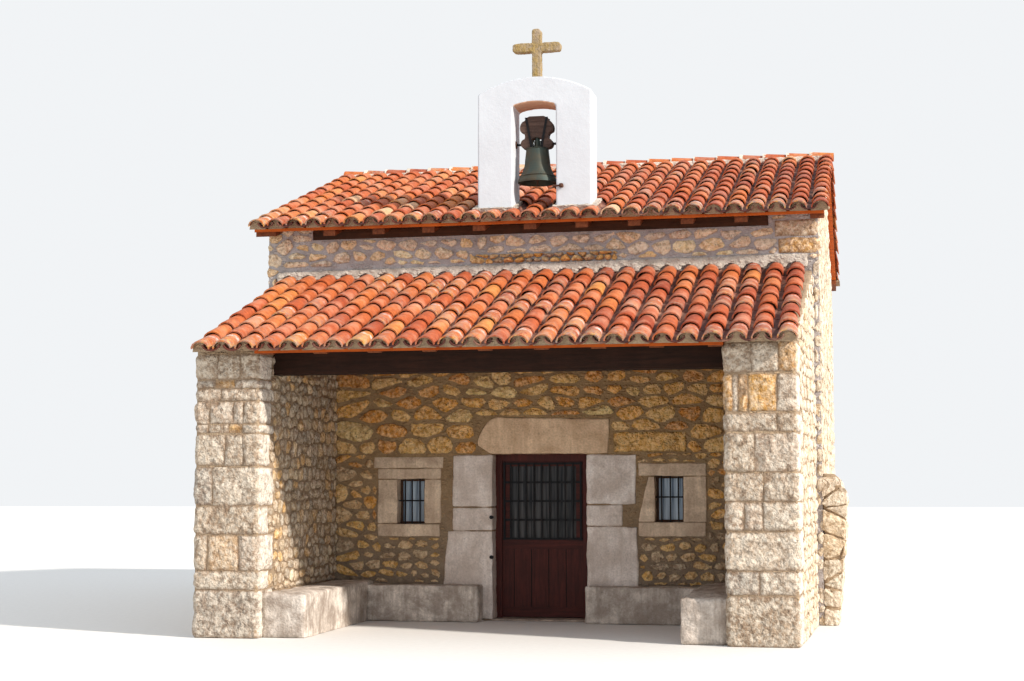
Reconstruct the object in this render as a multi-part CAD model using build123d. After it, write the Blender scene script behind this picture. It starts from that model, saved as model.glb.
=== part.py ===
from build123d import *
import math
import os

# A small rural chapel: a gabled stone body whose ridge runs parallel to the front,
# a deep porch with a lean-to roof, and a bell gable on the front wall.
# Millimetres. X runs to the right, the front faces -Y, Z is up and 0 at the forecourt.
# While building, X = 0 is the middle of the main body and Y = 0 the face of the front wall;
# save() then centres the footprint.

# Main body
main_width = 6330
main_depth = 6800
wall_thickness = 600
main_pitch = 18.2
main_deck_z = 4560          # top of the roof boards above the face of the front wall
main_eave = 290             # boards beyond the walls, front and back
main_verge = 135            # tiles beyond the side walls

# Roof build-up, measured square to the slope
board_thickness = 35
tile_thickness = 100        # to the crest of the cover tiles
tile_bed = 42               # to the top of the channel tiles and their mortar
tile_overhang = 60          # tiles beyond the edge of the boards
cover_half_width = 90
cover_facets = 4
main_cover_count = 29
porch_cover_count = 26
cover_margin = 100          # from the verge to the middle of the first cover
porch_cover_margin = 143
rafter_width = 140
rafter_depth = 70
rafter_notch = 14           # the rafters sit over the wall plates by this much
main_rafter_pitch = 587
main_rafter_count = 9
plate_size = 110
plate_setback = 12          # from the wall face to the wall plate
plate_length = 5260
bearer_depth = 60           # short timbers under the corners of the eaves
bearer_reach = 235
bearer_widths = (240, 150)
ridge_beam_width = 120
ridge_beam_depth = 160
ridge_gap = 10              # between the rafters of the two slopes
ridge_tile_radius = 125
ridge_tile_wall = 18
ridge_facets = 12

# Porch
porch_width = 6000
porch_depth = 2552
porch_wall_thickness = 667
porch_pitch = 20.0
porch_deck_z = 3850         # top of the porch boards at the front wall
porch_eave = 140            # boards beyond the front of the piers
porch_tile_overhang = 90
porch_verge = 50
porch_splay = 95            # the right wall's outer face runs out by this much towards the back
porch_rafter_width = 140
porch_rafter_depth = 55
porch_rafter_setback = 60   # from the edge of the boards to the rafter tails
porch_tail = 90             # the tails are cut back to this length at the bottom
porch_rafter_pitch = 562.5
porch_rafter_count = 9
rafter_bearing = 100        # length of the porch rafters in the front wall
beam_setback = 440          # from the front of the piers to the beam
beam_width = 250
beam_depth = 300
beam_bottom_z = 2658
beam_bearing = 200
flashing_left = 32          # height over the crest of the tiles at the left end
flashing_right = 82
flashing_depth = 60

# Buttress at the right front corner
buttress_foot = 145
buttress_belly = 238
buttress_top = 140
buttress_height = 1620
buttress_shoulder_z = 1430
buttress_length = 550

# Doorway
door_width = 1080
door_centre_x = 45
door_height = 1860
sill_thickness = 20
stone_proud = 12            # dressed stones stand out of the rubble face by this much
stone_depth = 300
stone_joint = 16
lintel_rise = 415           # from the head of the doorway to the lintel's crest
lintel_fall = 30            # the crest drops by this much to the right
lintel_left_tip = 168
lintel_left_tip_z = 95      # above the head of the doorway
lintel_left_top = 45
lintel_right = 240
lintel_right_top = 262
jamb_joints_left = (0.541, 0.683)       # shares of the doorway's height
jamb_joints_right = (0.570, 0.699)

# Door frame and leaf
frame_setback = 190
frame_width = 75
frame_depth = 70
lip_depth = 18              # front lip that the leaf shuts behind
lip_cover = 12
leaf_gap = 6                # clearance at the hinge edge and the head
leaf_free_gap = 8           # clearance at the edge that swings
leaf_face_gap = 5
leaf_floor_gap = 10
leaf_thickness = 45
leaf_stile = 88
leaf_top_rail = 70
leaf_lock_rail_z = 790
leaf_lock_rail = 110
leaf_bottom_rail = 112
board_pitch = 199
board_grooves = 4
board_shift = -34           # the grooves' middle, from the middle of the leaf
board_groove = 7
groove_depth = 6
door_glass_thickness = 6

# Door grille
grille_side_gap = 15
grille_top_gap = 22
grille_bottom_z = 895
grille_standoff = 14
grille_bar = 14
grille_bar_pitch = 89.5
grille_bars = 9
grille_flat = 22
grille_flat_thickness = 8
grille_rows = 4
lug_radius = 18
lug_sides = 12
lug_proud = 6

# Hinges of the leaf
pin_radius = 5
pin_clearance = 0.3
knuckle_radius = 9
knuckle_length = 50
knuckle_gap = 1
hinge_plate = 6
hinge_plate_length = 80
hinge_heights = (350, 1500)

# Windows
window_width = 325
window_height = 516
left_window_x = -1440
left_window_z = 1070
right_window_x = 1504
right_window_z = 1095
window_frame_setback = 140
window_frame_depth = 50
window_frame_width = 30
glass_thickness = 6
window_stone_depth = 220
window_stone_joint = 14
left_window_jamb = 225      # widths and heights of the stones round the windows
left_window_right_jamb = 188
left_window_lintel = 112
left_window_sill = 133
right_window_jamb_foot = 176
right_window_jamb_head = 72
right_window_right_jamb = 246
right_window_lintel = 135
right_window_sill = 150

# Benches
bench_height = 400
bench_depth = 290
side_bench_height = 440
side_bench_depth = 460
side_bench_length = 2440
bench_gap_left = 100        # from the doorway to the benches beside it
bench_gap_right = 20

# Bell gable
gable_width = 1320
gable_thickness = 420
gable_corner_z = 5985
gable_rise = 182
arch_width = 500
arch_spring_z = 5830
arch_rise = 42

# Cross
cross_arm = 105
cross_height = 595
cross_span = 560
cross_arm_z = 378           # centre of the arms above the gable's crown
cross_thickness = 110
cross_rounding = 38

# Bell and yoke
axle_z = 5418
axle_radius = 14
axle_clearance = 0.3
axle_bearing = 35
bearing_height = 70
bearing_depth = 80
bearing_proud = 8
bell_mouth_radius = 226
bell_bow_radius = 206       # above the lip
bell_flare_radius = 166
bell_waist_radius = 144
bell_shoulder_radius = 130
bell_lip = 68               # heights above the mouth
bell_flare = 153
bell_waist = 262
bell_bead = 7               # mouldings stand out by this much
flare_power = 2.0
flare_facets = 6
bell_height = 402
bell_drop = 453             # from the axle down to the mouth
bell_wall = 20
crown_radius = 30
canon_width = 46
canon_height = 100
canon_bar = 15
canon_thickness = 20
yoke_thickness = 120
yoke_top = 318              # heights from the axle, half widths from the middle
yoke_top_half = 82
yoke_ear_z = 296
yoke_ear_half = 132
yoke_horn_z = 204
yoke_horn_half = 192
yoke_chin_z = 127
yoke_chin_half = 152
yoke_waist_z = 88
yoke_waist_half = 135
yoke_lobe_half = 186
yoke_foot = 54
yoke_notch_half = 78
yoke_notch_spring = 12
yoke_notch_top = 72
strap_width = 26
strap_thickness = 8
strap_top_x = 122
strap_top_z = 304
strap_foot_x = 56
strap_foot_z = 51
clapper_drop = 95           # from the axle down to the clapper's pin
clapper_length = 300
clapper_ball = 34
clapper_rod = 10
clapper_flight = 90
clapper_eye = 20
clapper_pin = 8
eye_width = 16
cheek_gap = 2
cheek_width = 10
forged_sides = 10           # forged bars and balls are faceted

# Rope hook on the right jamb of the bell gable
hook_radius = 11
hook_ball = 26
hook_z = 4888
hook_reach = 90
hook_standoff = 30

half_main = main_width / 2
half_porch = porch_width / 2
porch_inner = half_porch - porch_wall_thickness
door_left = door_centre_x - door_width / 2
door_right = door_centre_x + door_width / 2
main_slope = math.tan(math.radians(main_pitch))
porch_slope = math.tan(math.radians(porch_pitch))
main_rise = 1 / math.cos(math.radians(main_pitch))
porch_rise = 1 / math.cos(math.radians(porch_pitch))
ridge_y = main_depth / 2
front_limit = -porch_depth - porch_eave - porch_tile_overhang
back_limit = main_depth + main_eave + tile_overhang
footprint_centre_x = (buttress_belly - main_verge) / 2
footprint_centre_y = (front_limit + back_limit) / 2

os.makedirs("parts", exist_ok=True)


def save(name, solids):
    """Write one named piece, made of one or more solids, at its place in the footprint."""
    placed = [Pos(-footprint_centre_x, -footprint_centre_y, 0) * solid for solid in solids]
    export_step(placed[0] if len(placed) == 1 else Compound(placed), f"parts/{name}.step")


def block(x0, x1, y0, y1, z0, z1):
    centre = Pos((x0 + x1) / 2, (y0 + y1) / 2, (z0 + z1) / 2)
    return centre * Box(x1 - x0, y1 - y0, z1 - z0)


def along_x(outline, x0, x1):
    """A straight outline of (y, z) points, run from x0 to x1."""
    face = Plane.YZ.offset(x0) * make_face(Polyline(*outline, close=True))
    return extrude(face, amount=x1 - x0)


def along_y(outline, y0, y1):
    """A straight outline of (x, z) points, run from y0 to y1."""
    face = Plane.XZ.offset(-y1) * make_face(Polyline(*outline, close=True))
    return extrude(face, amount=y1 - y0)


def rod(start, end, radius):
    """A round bar between two points."""
    direction = Vector(*end) - Vector(*start)
    plane = Plane(origin=start, z_dir=direction)
    return extrude(plane * Circle(radius), amount=direction.length)


def forged_bar(start, end, radius, sides=forged_sides):
    """A bar with flat sides between two points."""
    direction = Vector(*end) - Vector(*start)
    plane = Plane(origin=start, z_dir=direction)
    return extrude(plane * RegularPolygon(radius, sides), amount=direction.length)


def forged_ball(x, y, z, radius):
    """A hammered ball: the common part of three eight-sided bars."""
    bars = [extrude(plane * RegularPolygon(radius, 8, major_radius=False), amount=radius, both=True)
            for plane in (Plane.XY, Plane.YZ, Plane.XZ)]
    return Pos(x, y, z) * (bars[0] & bars[1] & bars[2])


def cut(solid, tools):
    for tool in tools:
        solid = solid - tool
    return solid


def main_z(y):
    """Height of the top of the main roof boards over a point of the plan."""
    return main_deck_z + min(y, main_depth - y) * main_slope


def porch_z(y):
    return porch_deck_z + y * porch_slope


def main_layer(y0, y1, low, high, x0, x1):
    """A layer of the main roof between two heights over the boards, square to the slope."""
    low = low * main_rise
    high = high * main_rise
    z0 = main_z(y0)
    z1 = main_z(y1)
    outline = [(y0, z0 + low), (y1, z1 + low), (y1, z1 + high), (y0, z0 + high)]
    return along_x(outline, x0, x1)


def porch_layer(y0, y1, low, high, x0, x1):
    low = low * porch_rise
    high = high * porch_rise
    z0 = porch_z(y0)
    z1 = porch_z(y1)
    outline = [(y0, z0 + low), (y1, z1 + low), (y1, z1 + high), (y0, z0 + high)]
    return along_x(outline, x0, x1)


def centred_places(count, pitch):
    return [(i - (count - 1) / 2) * pitch for i in range(count)]


# Timbers of the main roof

def make_main_rafters(plates):
    rafters = []
    front = -main_eave + board_thickness
    back = main_depth + main_eave - board_thickness
    for x in centred_places(main_rafter_count, main_rafter_pitch):
        low = -board_thickness - rafter_depth
        high = -board_thickness
        left = x - rafter_width / 2
        right = x + rafter_width / 2
        rafters.append(cut(main_layer(front, ridge_y - ridge_gap / 2, low, high, left, right), plates))
        rafters.append(cut(main_layer(ridge_y + ridge_gap / 2, back, low, high, left, right), plates))
    return rafters


plate_top = main_z(plate_setback) - (board_thickness + rafter_depth) * main_rise + rafter_notch
plate_back = plate_setback + plate_size


def make_wall_plates():
    """Two square timbers on the long walls, under the rafters."""
    half = plate_length / 2
    return [block(-half, half, start, start + plate_size, plate_top - plate_size, plate_top)
            for start in (plate_setback, main_depth - plate_back)]


def make_plate_slot():
    """The recess at the head of the front wall in which its plate lies, open to the outside."""
    bottom = plate_top - plate_size
    outline = [(0, bottom), (plate_back, bottom), (plate_back, main_z(plate_back)), (0, main_z(0))]
    return along_x(outline, -plate_length / 2, plate_length / 2)


def make_eave_bearers():
    """A short timber under the boards at each corner, from the wall face to near the eave."""
    half = half_main + main_verge - tile_overhang
    left, right = bearer_widths
    low = -board_thickness - bearer_depth
    front = [main_layer(-bearer_reach, 0, low, -board_thickness, x0, x1)
             for x0, x1 in ((-half, left - half), (half - right, half))]
    return front + [bearer.mirror(Plane.XZ.offset(-ridge_y)) for bearer in front]


def make_ridge_beam():
    """A timber under the ridge, let into both side walls, whose top follows the rafters."""
    half = ridge_beam_width / 2
    under = (board_thickness + rafter_depth) * main_rise
    side = main_z(ridge_y - half) - under
    crown = main_z(ridge_y) - under
    bottom = crown - ridge_beam_depth
    outline = [(ridge_y - half, bottom), (ridge_y + half, bottom), (ridge_y + half, side), (ridge_y, crown),
               (ridge_y - half, side)]
    bearing = wall_thickness / 2
    return along_x(outline, -half_main + bearing, half_main - bearing)


def make_main_decks():
    half = half_main + main_verge - tile_overhang
    front = main_layer(-main_eave, ridge_y, -board_thickness, 0, -half, half)
    back = main_layer(ridge_y, main_depth + main_eave, -board_thickness, 0, -half, half)
    return front, back


def tile_section(half, count, margin):
    """Section across a tiled slope: rounded covers side by side on a bed of channel tiles."""
    pitch = 2 * (half - margin) / (count - 1)
    crest = tile_thickness - tile_bed
    outline = [(-half, 0), (half, 0), (half, tile_bed)]
    for x in reversed(centred_places(count, pitch)):
        for i in range(cover_facets + 1):
            turn = math.pi * i / cover_facets
            outline.append((x + cover_half_width * math.cos(turn), tile_bed + crest * math.sin(turn)))
    outline.append((-half, tile_bed))
    return make_face(Polyline(*outline, close=True))


def tiled_slope(section, half, top_y, top_z, foot_y, pitch):
    """The section run down a slope from its top line, both ends cut upright."""
    lean = math.radians(pitch)
    down = Plane(origin=(0, top_y, top_z), x_dir=(1, 0, 0), z_dir=(0, -math.cos(lean), -math.sin(lean)))
    length = (top_y - foot_y) / math.cos(lean)
    run = extrude(down.offset(-tile_thickness) * section, amount=length + 2 * tile_thickness)
    return run & block(-half, half, foot_y, top_y, top_z - length, top_z + 2 * tile_thickness)


def make_main_tiles():
    half = half_main + main_verge
    section = tile_section(half, main_cover_count, cover_margin)
    front = tiled_slope(section, half, ridge_y, main_z(ridge_y), -main_eave - tile_overhang, main_pitch)
    return front, front.mirror(Plane.XZ.offset(-ridge_y))


def make_ridge_tiles():
    """A half-round capping over the meeting of the two slopes."""
    half = half_main + main_verge
    crest = main_z(ridge_y) + tile_thickness * main_rise
    centre = crest - ridge_tile_radius + 2 * ridge_tile_wall
    plane = Plane.YZ.offset(-half) * Pos(ridge_y, centre)
    ring = RegularPolygon(ridge_tile_radius, ridge_facets)
    ring -= RegularPolygon(ridge_tile_radius - ridge_tile_wall, ridge_facets)
    cap = extrude(plane * ring, amount=2 * half)
    reach = ridge_tile_radius
    keep = block(-half, half, ridge_y - reach, ridge_y + reach, crest - reach, crest + reach)
    return cap & keep


# Timbers of the porch

def make_porch_rafters(beam):
    """Rafters laid flat, with their tails cut back underneath."""
    high = -board_thickness * porch_rise
    low = high - porch_rafter_depth * porch_rise
    front = -porch_depth - porch_eave + porch_rafter_setback
    tail = front + porch_tail
    bearing_z = porch_z(rafter_bearing)
    outline = [(front, porch_z(front) + high), (tail, porch_z(tail) + low), (rafter_bearing, bearing_z + low),
               (rafter_bearing, bearing_z + high)]
    half = porch_rafter_width / 2
    places = centred_places(porch_rafter_count, porch_rafter_pitch)
    return [along_x(outline, x - half, x + half) - beam for x in places]


def make_porch_beam():
    front = -porch_depth + beam_setback
    side = porch_inner + beam_bearing
    return block(-side, side, front, front + beam_width, beam_bottom_z, beam_bottom_z + beam_depth)


def make_porch_deck():
    return porch_layer(-porch_depth - porch_eave, 0, -board_thickness, 0, -porch_inner, porch_inner)


def make_porch_tiles():
    half = half_porch + porch_verge
    section = tile_section(half, porch_cover_count, porch_cover_margin)
    return tiled_slope(section, half, 0, porch_deck_z, front_limit, porch_pitch)


def make_flashing(tiles):
    """A fillet of mortar over the top ends of the porch tiles, thicker towards the right."""
    half = half_porch + porch_verge
    crest = porch_z(0) + tile_thickness * porch_rise
    foot = porch_z(-flashing_depth) + tile_bed * porch_rise
    left_top = crest + flashing_left
    right_top = crest + flashing_right
    side_view = [(0, foot), (0, right_top), (-flashing_depth / 3, right_top), (-flashing_depth, foot)]
    front_view = [(-half, foot), (half, foot), (half, right_top), (-half, left_top)]
    return (along_x(side_view, -half, half) & along_y(front_view, -flashing_depth, 0)) - tiles


# Dressed stones

def stone(outline, depth=stone_depth):
    return along_y(outline, -stone_proud, depth)


def make_lintel():
    """One long stone, rounded off at its left end and sloping down a little to the right."""
    foot = (door_left - stone_proud, door_height)
    tip = (door_left - lintel_left_tip, door_height + lintel_left_tip_z)
    crest = (door_left + lintel_left_top, door_height + lintel_rise)
    shoulder = (door_left - lintel_left_tip / 2, door_height + lintel_rise * 0.78)
    right_top = (door_right + lintel_right_top, door_height + lintel_rise - lintel_fall)
    right_foot = (door_right + lintel_right, door_height)
    outline = Wire([Line(foot, tip), ThreePointArc(tip, shoulder, crest), Line(crest, right_top),
                    Line(right_top, right_foot), Line(right_foot, foot)])
    return run_back(make_face(outline), -stone_proud, stone_depth)


def make_jambs(edge, side, joints, widths):
    """Jamb stones stacked beside the doorway, each with its width at the foot and at the head."""
    levels = [sill_thickness, *[share * door_height for share in joints], door_height]
    stones = []
    for bottom, top, (foot, head) in zip(levels[:-1], levels[1:], widths):
        top = top - stone_joint
        outline = [(edge, bottom), (edge + side * foot, bottom), (edge + side * head, top), (edge, top)]
        stones.append(stone(outline))
    return stones


def make_window_stones(x, z, left_foot, left_head, right_width, lintel_height, sill_height):
    """Lintel, two jambs and sill round a small window."""
    left = x - window_width / 2
    right = x + window_width / 2
    top = z + window_height
    gap = window_stone_joint
    jamb_bottom = z + gap
    jamb_top = top - gap
    far_left = left - max(left_foot, left_head)
    far_right = right + right_width
    head = top + lintel_height
    foot = z - sill_height
    lintel = [(far_left, top), (far_right, top), (far_right, head), (far_left, head)]
    sill = [(far_left, foot), (far_right - gap, foot), (far_right - gap, z), (far_left, z)]
    left_jamb = [(left, jamb_bottom), (left - left_foot, jamb_bottom), (left - left_head, jamb_top),
                 (left, jamb_top)]
    right_jamb = [(right, jamb_bottom), (far_right, jamb_bottom), (far_right, jamb_top), (right, jamb_top)]
    return [stone(outline, window_stone_depth) for outline in (lintel, sill, left_jamb, right_jamb)]


# Windows

def window_box(x, z, y0, y1, inset=0):
    half = window_width / 2 - inset
    return block(x - half, x + half, y0, y1, z + inset, z + window_height - inset)


def make_window_frame(x, z):
    y1 = window_frame_setback + window_frame_depth
    outer = window_box(x, z, window_frame_setback, y1)
    return outer - window_box(x, z, window_frame_setback, y1, window_frame_width)


def make_window_glass(x, z):
    y0 = window_frame_setback + (window_frame_depth - glass_thickness) / 2
    return window_box(x, z, y0, y0 + glass_thickness, window_frame_width)


# Door

frame_y0 = frame_setback
frame_y1 = frame_setback + frame_depth
rebate_y = frame_y0 + lip_depth
lip_left = door_left + frame_width
lip_right = door_right - frame_width
lip_top = door_height - frame_width
rebate_left = lip_left - lip_cover
rebate_right = lip_right + lip_cover
rebate_top = lip_top + lip_cover
leaf_left = rebate_left + leaf_free_gap
leaf_right = rebate_right - leaf_gap
leaf_top = rebate_top - leaf_gap
leaf_bottom = sill_thickness + leaf_floor_gap
leaf_y0 = rebate_y + leaf_face_gap
leaf_y1 = leaf_y0 + leaf_thickness
pin_x = rebate_right - leaf_gap / 2
pin_y = leaf_y1 + knuckle_radius + hinge_plate - 2


def make_door_frame():
    outer = block(door_left, door_right, frame_y0, frame_y1, sill_thickness, door_height)
    front = block(lip_left, lip_right, frame_y0, rebate_y, sill_thickness, lip_top)
    back = block(rebate_left, rebate_right, rebate_y, frame_y1, sill_thickness, rebate_top)
    return outer - front - back


def leaf_opening(y0, y1):
    return block(leaf_left + leaf_stile, leaf_right - leaf_stile, y0, y1, leaf_lock_rail_z + leaf_lock_rail,
                 leaf_top - leaf_top_rail)


def make_door_leaf():
    """Boarded below and open above for the glass, with grooves between the boards."""
    leaf = block(leaf_left, leaf_right, leaf_y0, leaf_y1, leaf_bottom, leaf_top)
    leaf -= leaf_opening(leaf_y0, leaf_y1)
    boards_bottom = leaf_bottom + leaf_bottom_rail
    groove_end = leaf_y0 + groove_depth
    half = board_groove / 2
    for offset in centred_places(board_grooves, board_pitch):
        x = (lip_left + lip_right) / 2 + board_shift + offset
        leaf = leaf - block(x - half, x + half, leaf_y0, groove_end, boards_bottom, leaf_lock_rail_z)
    for z in (boards_bottom, leaf_lock_rail_z):
        leaf = leaf - block(leaf_left, leaf_right, leaf_y0, groove_end, z - half, z + half)
    return leaf


def make_door_glass():
    y0 = (leaf_y0 + leaf_y1 - door_glass_thickness) / 2
    return leaf_opening(y0, y0 + door_glass_thickness)


def make_grille():
    """Upright square bars crossed by flat ones in a flat frame, held off the leaf on four studs."""
    x0 = lip_left + grille_side_gap
    x1 = lip_right - grille_side_gap
    z0 = grille_bottom_z
    z1 = lip_top - grille_top_gap
    back = leaf_y0 - grille_standoff
    front = back - grille_flat_thickness
    grille = block(x0, x1, front, back, z0, z1)
    grille -= block(x0 + grille_flat, x1 - grille_flat, front, back, z0 + grille_flat, z1 - grille_flat)
    half = grille_bar / 2
    half_flat = grille_flat / 2
    row = (z1 - z0 - grille_flat) / grille_rows
    first_x = x0 + half_flat
    last_x = x1 - half_flat
    first_z = z0 + half_flat
    last_z = z1 - half_flat
    for i in range(1, grille_bars + 1):
        x = last_x - i * grille_bar_pitch
        grille += block(x - half, x + half, back - grille_bar, back, first_z, last_z)
    for i in range(1, grille_rows):
        z = first_z + i * row
        grille += block(first_x, last_x, front, back, z - half_flat, z + half_flat)
    for x in (first_x, last_x):
        for z in (first_z, last_z):
            grille += forged_bar((x, front - lug_proud, z), (x, leaf_y0, z), lug_radius, lug_sides)
    return grille


def make_hinges():
    """Fixed halves, each a pin with two knuckles and a plate on the frame, and leaf halves between them."""
    fixed = []
    moving = []
    for height in hinge_heights:
        low = height - knuckle_length / 2
        high = height + knuckle_length / 2
        pin = rod((pin_x, pin_y, low - knuckle_length), (pin_x, pin_y, high + knuckle_length), pin_radius)
        under = (low - knuckle_length, low - knuckle_gap)
        over = (high + knuckle_gap, high + knuckle_length)
        for z0, z1 in (under, over):
            pin += forged_bar((pin_x, pin_y, z0), (pin_x, pin_y, z1), knuckle_radius)
            pin += block(pin_x, pin_x + hinge_plate_length / 2, frame_y1, frame_y1 + hinge_plate, z0, z1)
        fixed.append(pin)
        leaf_half = forged_bar((pin_x, pin_y, low), (pin_x, pin_y, high), knuckle_radius)
        leaf_half += block(leaf_right - hinge_plate_length, pin_x, leaf_y1, leaf_y1 + hinge_plate, low, high)
        leaf_half -= rod((pin_x, pin_y, low), (pin_x, pin_y, high), pin_radius + pin_clearance)
        moving.append(leaf_half)
    return fixed, moving


# Bell gable

def segment_face(width, bottom, spring, rise):
    """A rectangle whose top edge is a segmental arc."""
    half = width / 2
    sides = Polyline((-half, spring), (-half, bottom), (half, bottom), (half, spring))
    crown = ThreePointArc((half, spring), (0, spring + rise), (-half, spring))
    return make_face(Wire([*sides.edges(), crown]))


def run_back(face, y0, y1):
    return extrude(Plane.XZ.offset(-y1) * face, amount=y1 - y0)


def bell_bearing(side):
    """An iron block let into the jamb, with a blind bore for the axle."""
    face_x = arch_width / 2 - bearing_proud
    end_x = arch_width / 2 + axle_bearing + bearing_proud
    y = gable_thickness / 2
    x0, x1 = sorted((side * face_x, side * end_x))
    half_y = bearing_depth / 2
    half_z = bearing_height / 2
    solid = block(x0, x1, y - half_y, y + half_y, axle_z - half_z, axle_z + half_z)
    bore_end = side * (arch_width / 2 + axle_bearing)
    return solid, solid - rod((side * face_x, y, axle_z), (bore_end, y, axle_z), axle_radius + axle_clearance)


def make_bell_gable(bearings):
    """White masonry standing on the front wall, with an arched opening down to the roof."""
    foot = main_deck_z - board_thickness * main_rise
    body = run_back(segment_face(gable_width, foot, gable_corner_z, gable_rise), 0, gable_thickness)
    body -= run_back(segment_face(arch_width, foot, arch_spring_z, arch_rise), 0, gable_thickness)
    below = main_layer(0, gable_thickness, -gable_thickness, -board_thickness, -gable_width, gable_width)
    return cut(body, [below, *bearings])


def make_cross():
    """One stone with four rounded arms."""
    crown = gable_corner_z + gable_rise
    upright = Pos(0, crown + cross_height / 2) * Rectangle(cross_arm, cross_height)
    arms = Pos(0, crown + cross_arm_z) * Rectangle(cross_span, cross_arm)
    face = upright + arms
    tips = face.vertices().filter_by(lambda v: abs(v.X) > cross_arm or v.Y > crown + cross_height - 1)
    face = fillet(tips, cross_rounding)
    y = gable_thickness / 2
    shape = run_back(face, y - cross_thickness / 2, y + cross_thickness / 2)
    bed = segment_face(gable_width, gable_corner_z - cross_arm, gable_corner_z, gable_rise)
    return shape - run_back(bed, 0, gable_thickness)


# Bell, yoke and clapper

swing_y = gable_thickness / 2
mouth_z = axle_z - bell_drop
shoulder_z = mouth_z + bell_height
clapper_z = axle_z - clapper_drop


def bell_hollow(low_radius, low_z, high_z):
    """Points up the hollow flare: the radius falls fast above the lip and slowly towards the waist."""
    points = []
    for i in range(flare_facets + 1):
        share = i / flare_facets
        radius = bell_waist_radius + (low_radius - bell_waist_radius) * (1 - share) ** flare_power
        points.append((radius, low_z + (high_z - low_z) * share))
    return points


def bell_outline():
    """Half section of the bell: lip, bead, hollow waist, bead, shoulder, and back down inside."""
    lip_z = mouth_z + bell_lip
    bead_z = lip_z + 2 * bell_bead
    flare_z = mouth_z + bell_flare
    waist_z = mouth_z + bell_waist
    rim_z = mouth_z + 3 * bell_bead
    edge_z = shoulder_z - 2 * bell_bead
    bow = bell_bow_radius
    neck = bell_shoulder_radius
    outside = [
        Line((bell_mouth_radius, mouth_z), (bell_mouth_radius, rim_z)),
        Line((bell_mouth_radius, rim_z), (bow, lip_z)),
        Line((bow, lip_z), (bow + bell_bead, lip_z + bell_bead)),
        Line((bow + bell_bead, lip_z + bell_bead), (bow - bell_bead, bead_z)),
        *Polyline(*bell_hollow(bow - bell_bead, bead_z, waist_z)).edges(),
        Line((bell_waist_radius, waist_z), (neck, edge_z)),
        Line((neck, edge_z), (neck + bell_bead, edge_z + bell_bead)),
        Line((neck + bell_bead, edge_z + bell_bead), (neck, shoulder_z)),
        Line((neck, shoulder_z), (0, shoulder_z)),
    ]
    inner_neck = neck - bell_wall
    inner_waist = bell_waist_radius - bell_wall
    inner_flare = bell_flare_radius - bell_wall
    inner_bow = bow - 1.4 * bell_wall
    inside = [
        Line((0, shoulder_z), (0, shoulder_z - bell_wall)),
        Line((0, shoulder_z - bell_wall), (inner_neck - bell_wall, shoulder_z - bell_wall)),
        Line((inner_neck - bell_wall, shoulder_z - bell_wall), (inner_neck, shoulder_z - 2 * bell_wall)),
        Line((inner_neck, shoulder_z - 2 * bell_wall), (inner_waist, waist_z)),
        Line((inner_waist, waist_z), (inner_flare, flare_z)),
        Line((inner_flare, flare_z), (inner_bow, lip_z)),
        Line((inner_bow, lip_z), (bell_mouth_radius - bell_wall, mouth_z)),
        Line((bell_mouth_radius - bell_wall, mouth_z), (bell_mouth_radius, mouth_z)),
    ]
    return Wire(outside + inside)


def make_canons():
    """The loops that the bell hangs by: a long link on each side of a middle post."""
    post_top = axle_z + yoke_notch_top
    half = canon_thickness / 2
    eye = SlotOverall(canon_height - 2 * canon_bar, canon_width - 2 * canon_bar)
    link = Rot(0, 0, 90) * (SlotOverall(canon_height, canon_width) - eye)
    canons = forged_bar((0, swing_y, shoulder_z - bell_wall / 2), (0, swing_y, post_top), crown_radius)
    for side in (-1, 1):
        place = Pos(side * (crown_radius + canon_bar), shoulder_z + (canon_height - canon_bar) / 2)
        canons += run_back(place * link, swing_y - half, swing_y + half)
    return canons


def make_bell():
    """Turned from its section, with loops above and two cheeks inside for the clapper's pin."""
    bell = Pos(0, swing_y, 0) * revolve(Plane.XZ * make_face(bell_outline()), Axis.Z)
    bell += make_canons()
    for side in (-1, 1):
        face_x = eye_width / 2 + cheek_gap
        x0, x1 = sorted((side * face_x, side * (face_x + cheek_width)))
        bell += block(x0, x1, swing_y - clapper_eye, swing_y + clapper_eye, clapper_z - clapper_eye,
                      shoulder_z - bell_wall / 2)
    reach = eye_width / 2 + cheek_gap + cheek_width
    return bell + rod((-reach, swing_y, clapper_z), (reach, swing_y, clapper_z), clapper_pin)


def make_clapper():
    ball_z = clapper_z - clapper_length
    clapper = rod((-eye_width / 2, swing_y, clapper_z), (eye_width / 2, swing_y, clapper_z), clapper_eye)
    clapper += forged_bar((0, swing_y, clapper_z - clapper_eye / 2), (0, swing_y, ball_z), clapper_rod)
    clapper += forged_ball(0, swing_y, ball_z, clapper_ball)
    clapper += forged_bar((0, swing_y, ball_z), (0, swing_y, ball_z - clapper_flight), clapper_rod)
    bore = clapper_pin + axle_clearance
    return clapper - rod((-eye_width, swing_y, clapper_z), (eye_width, swing_y, clapper_z), bore)


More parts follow.
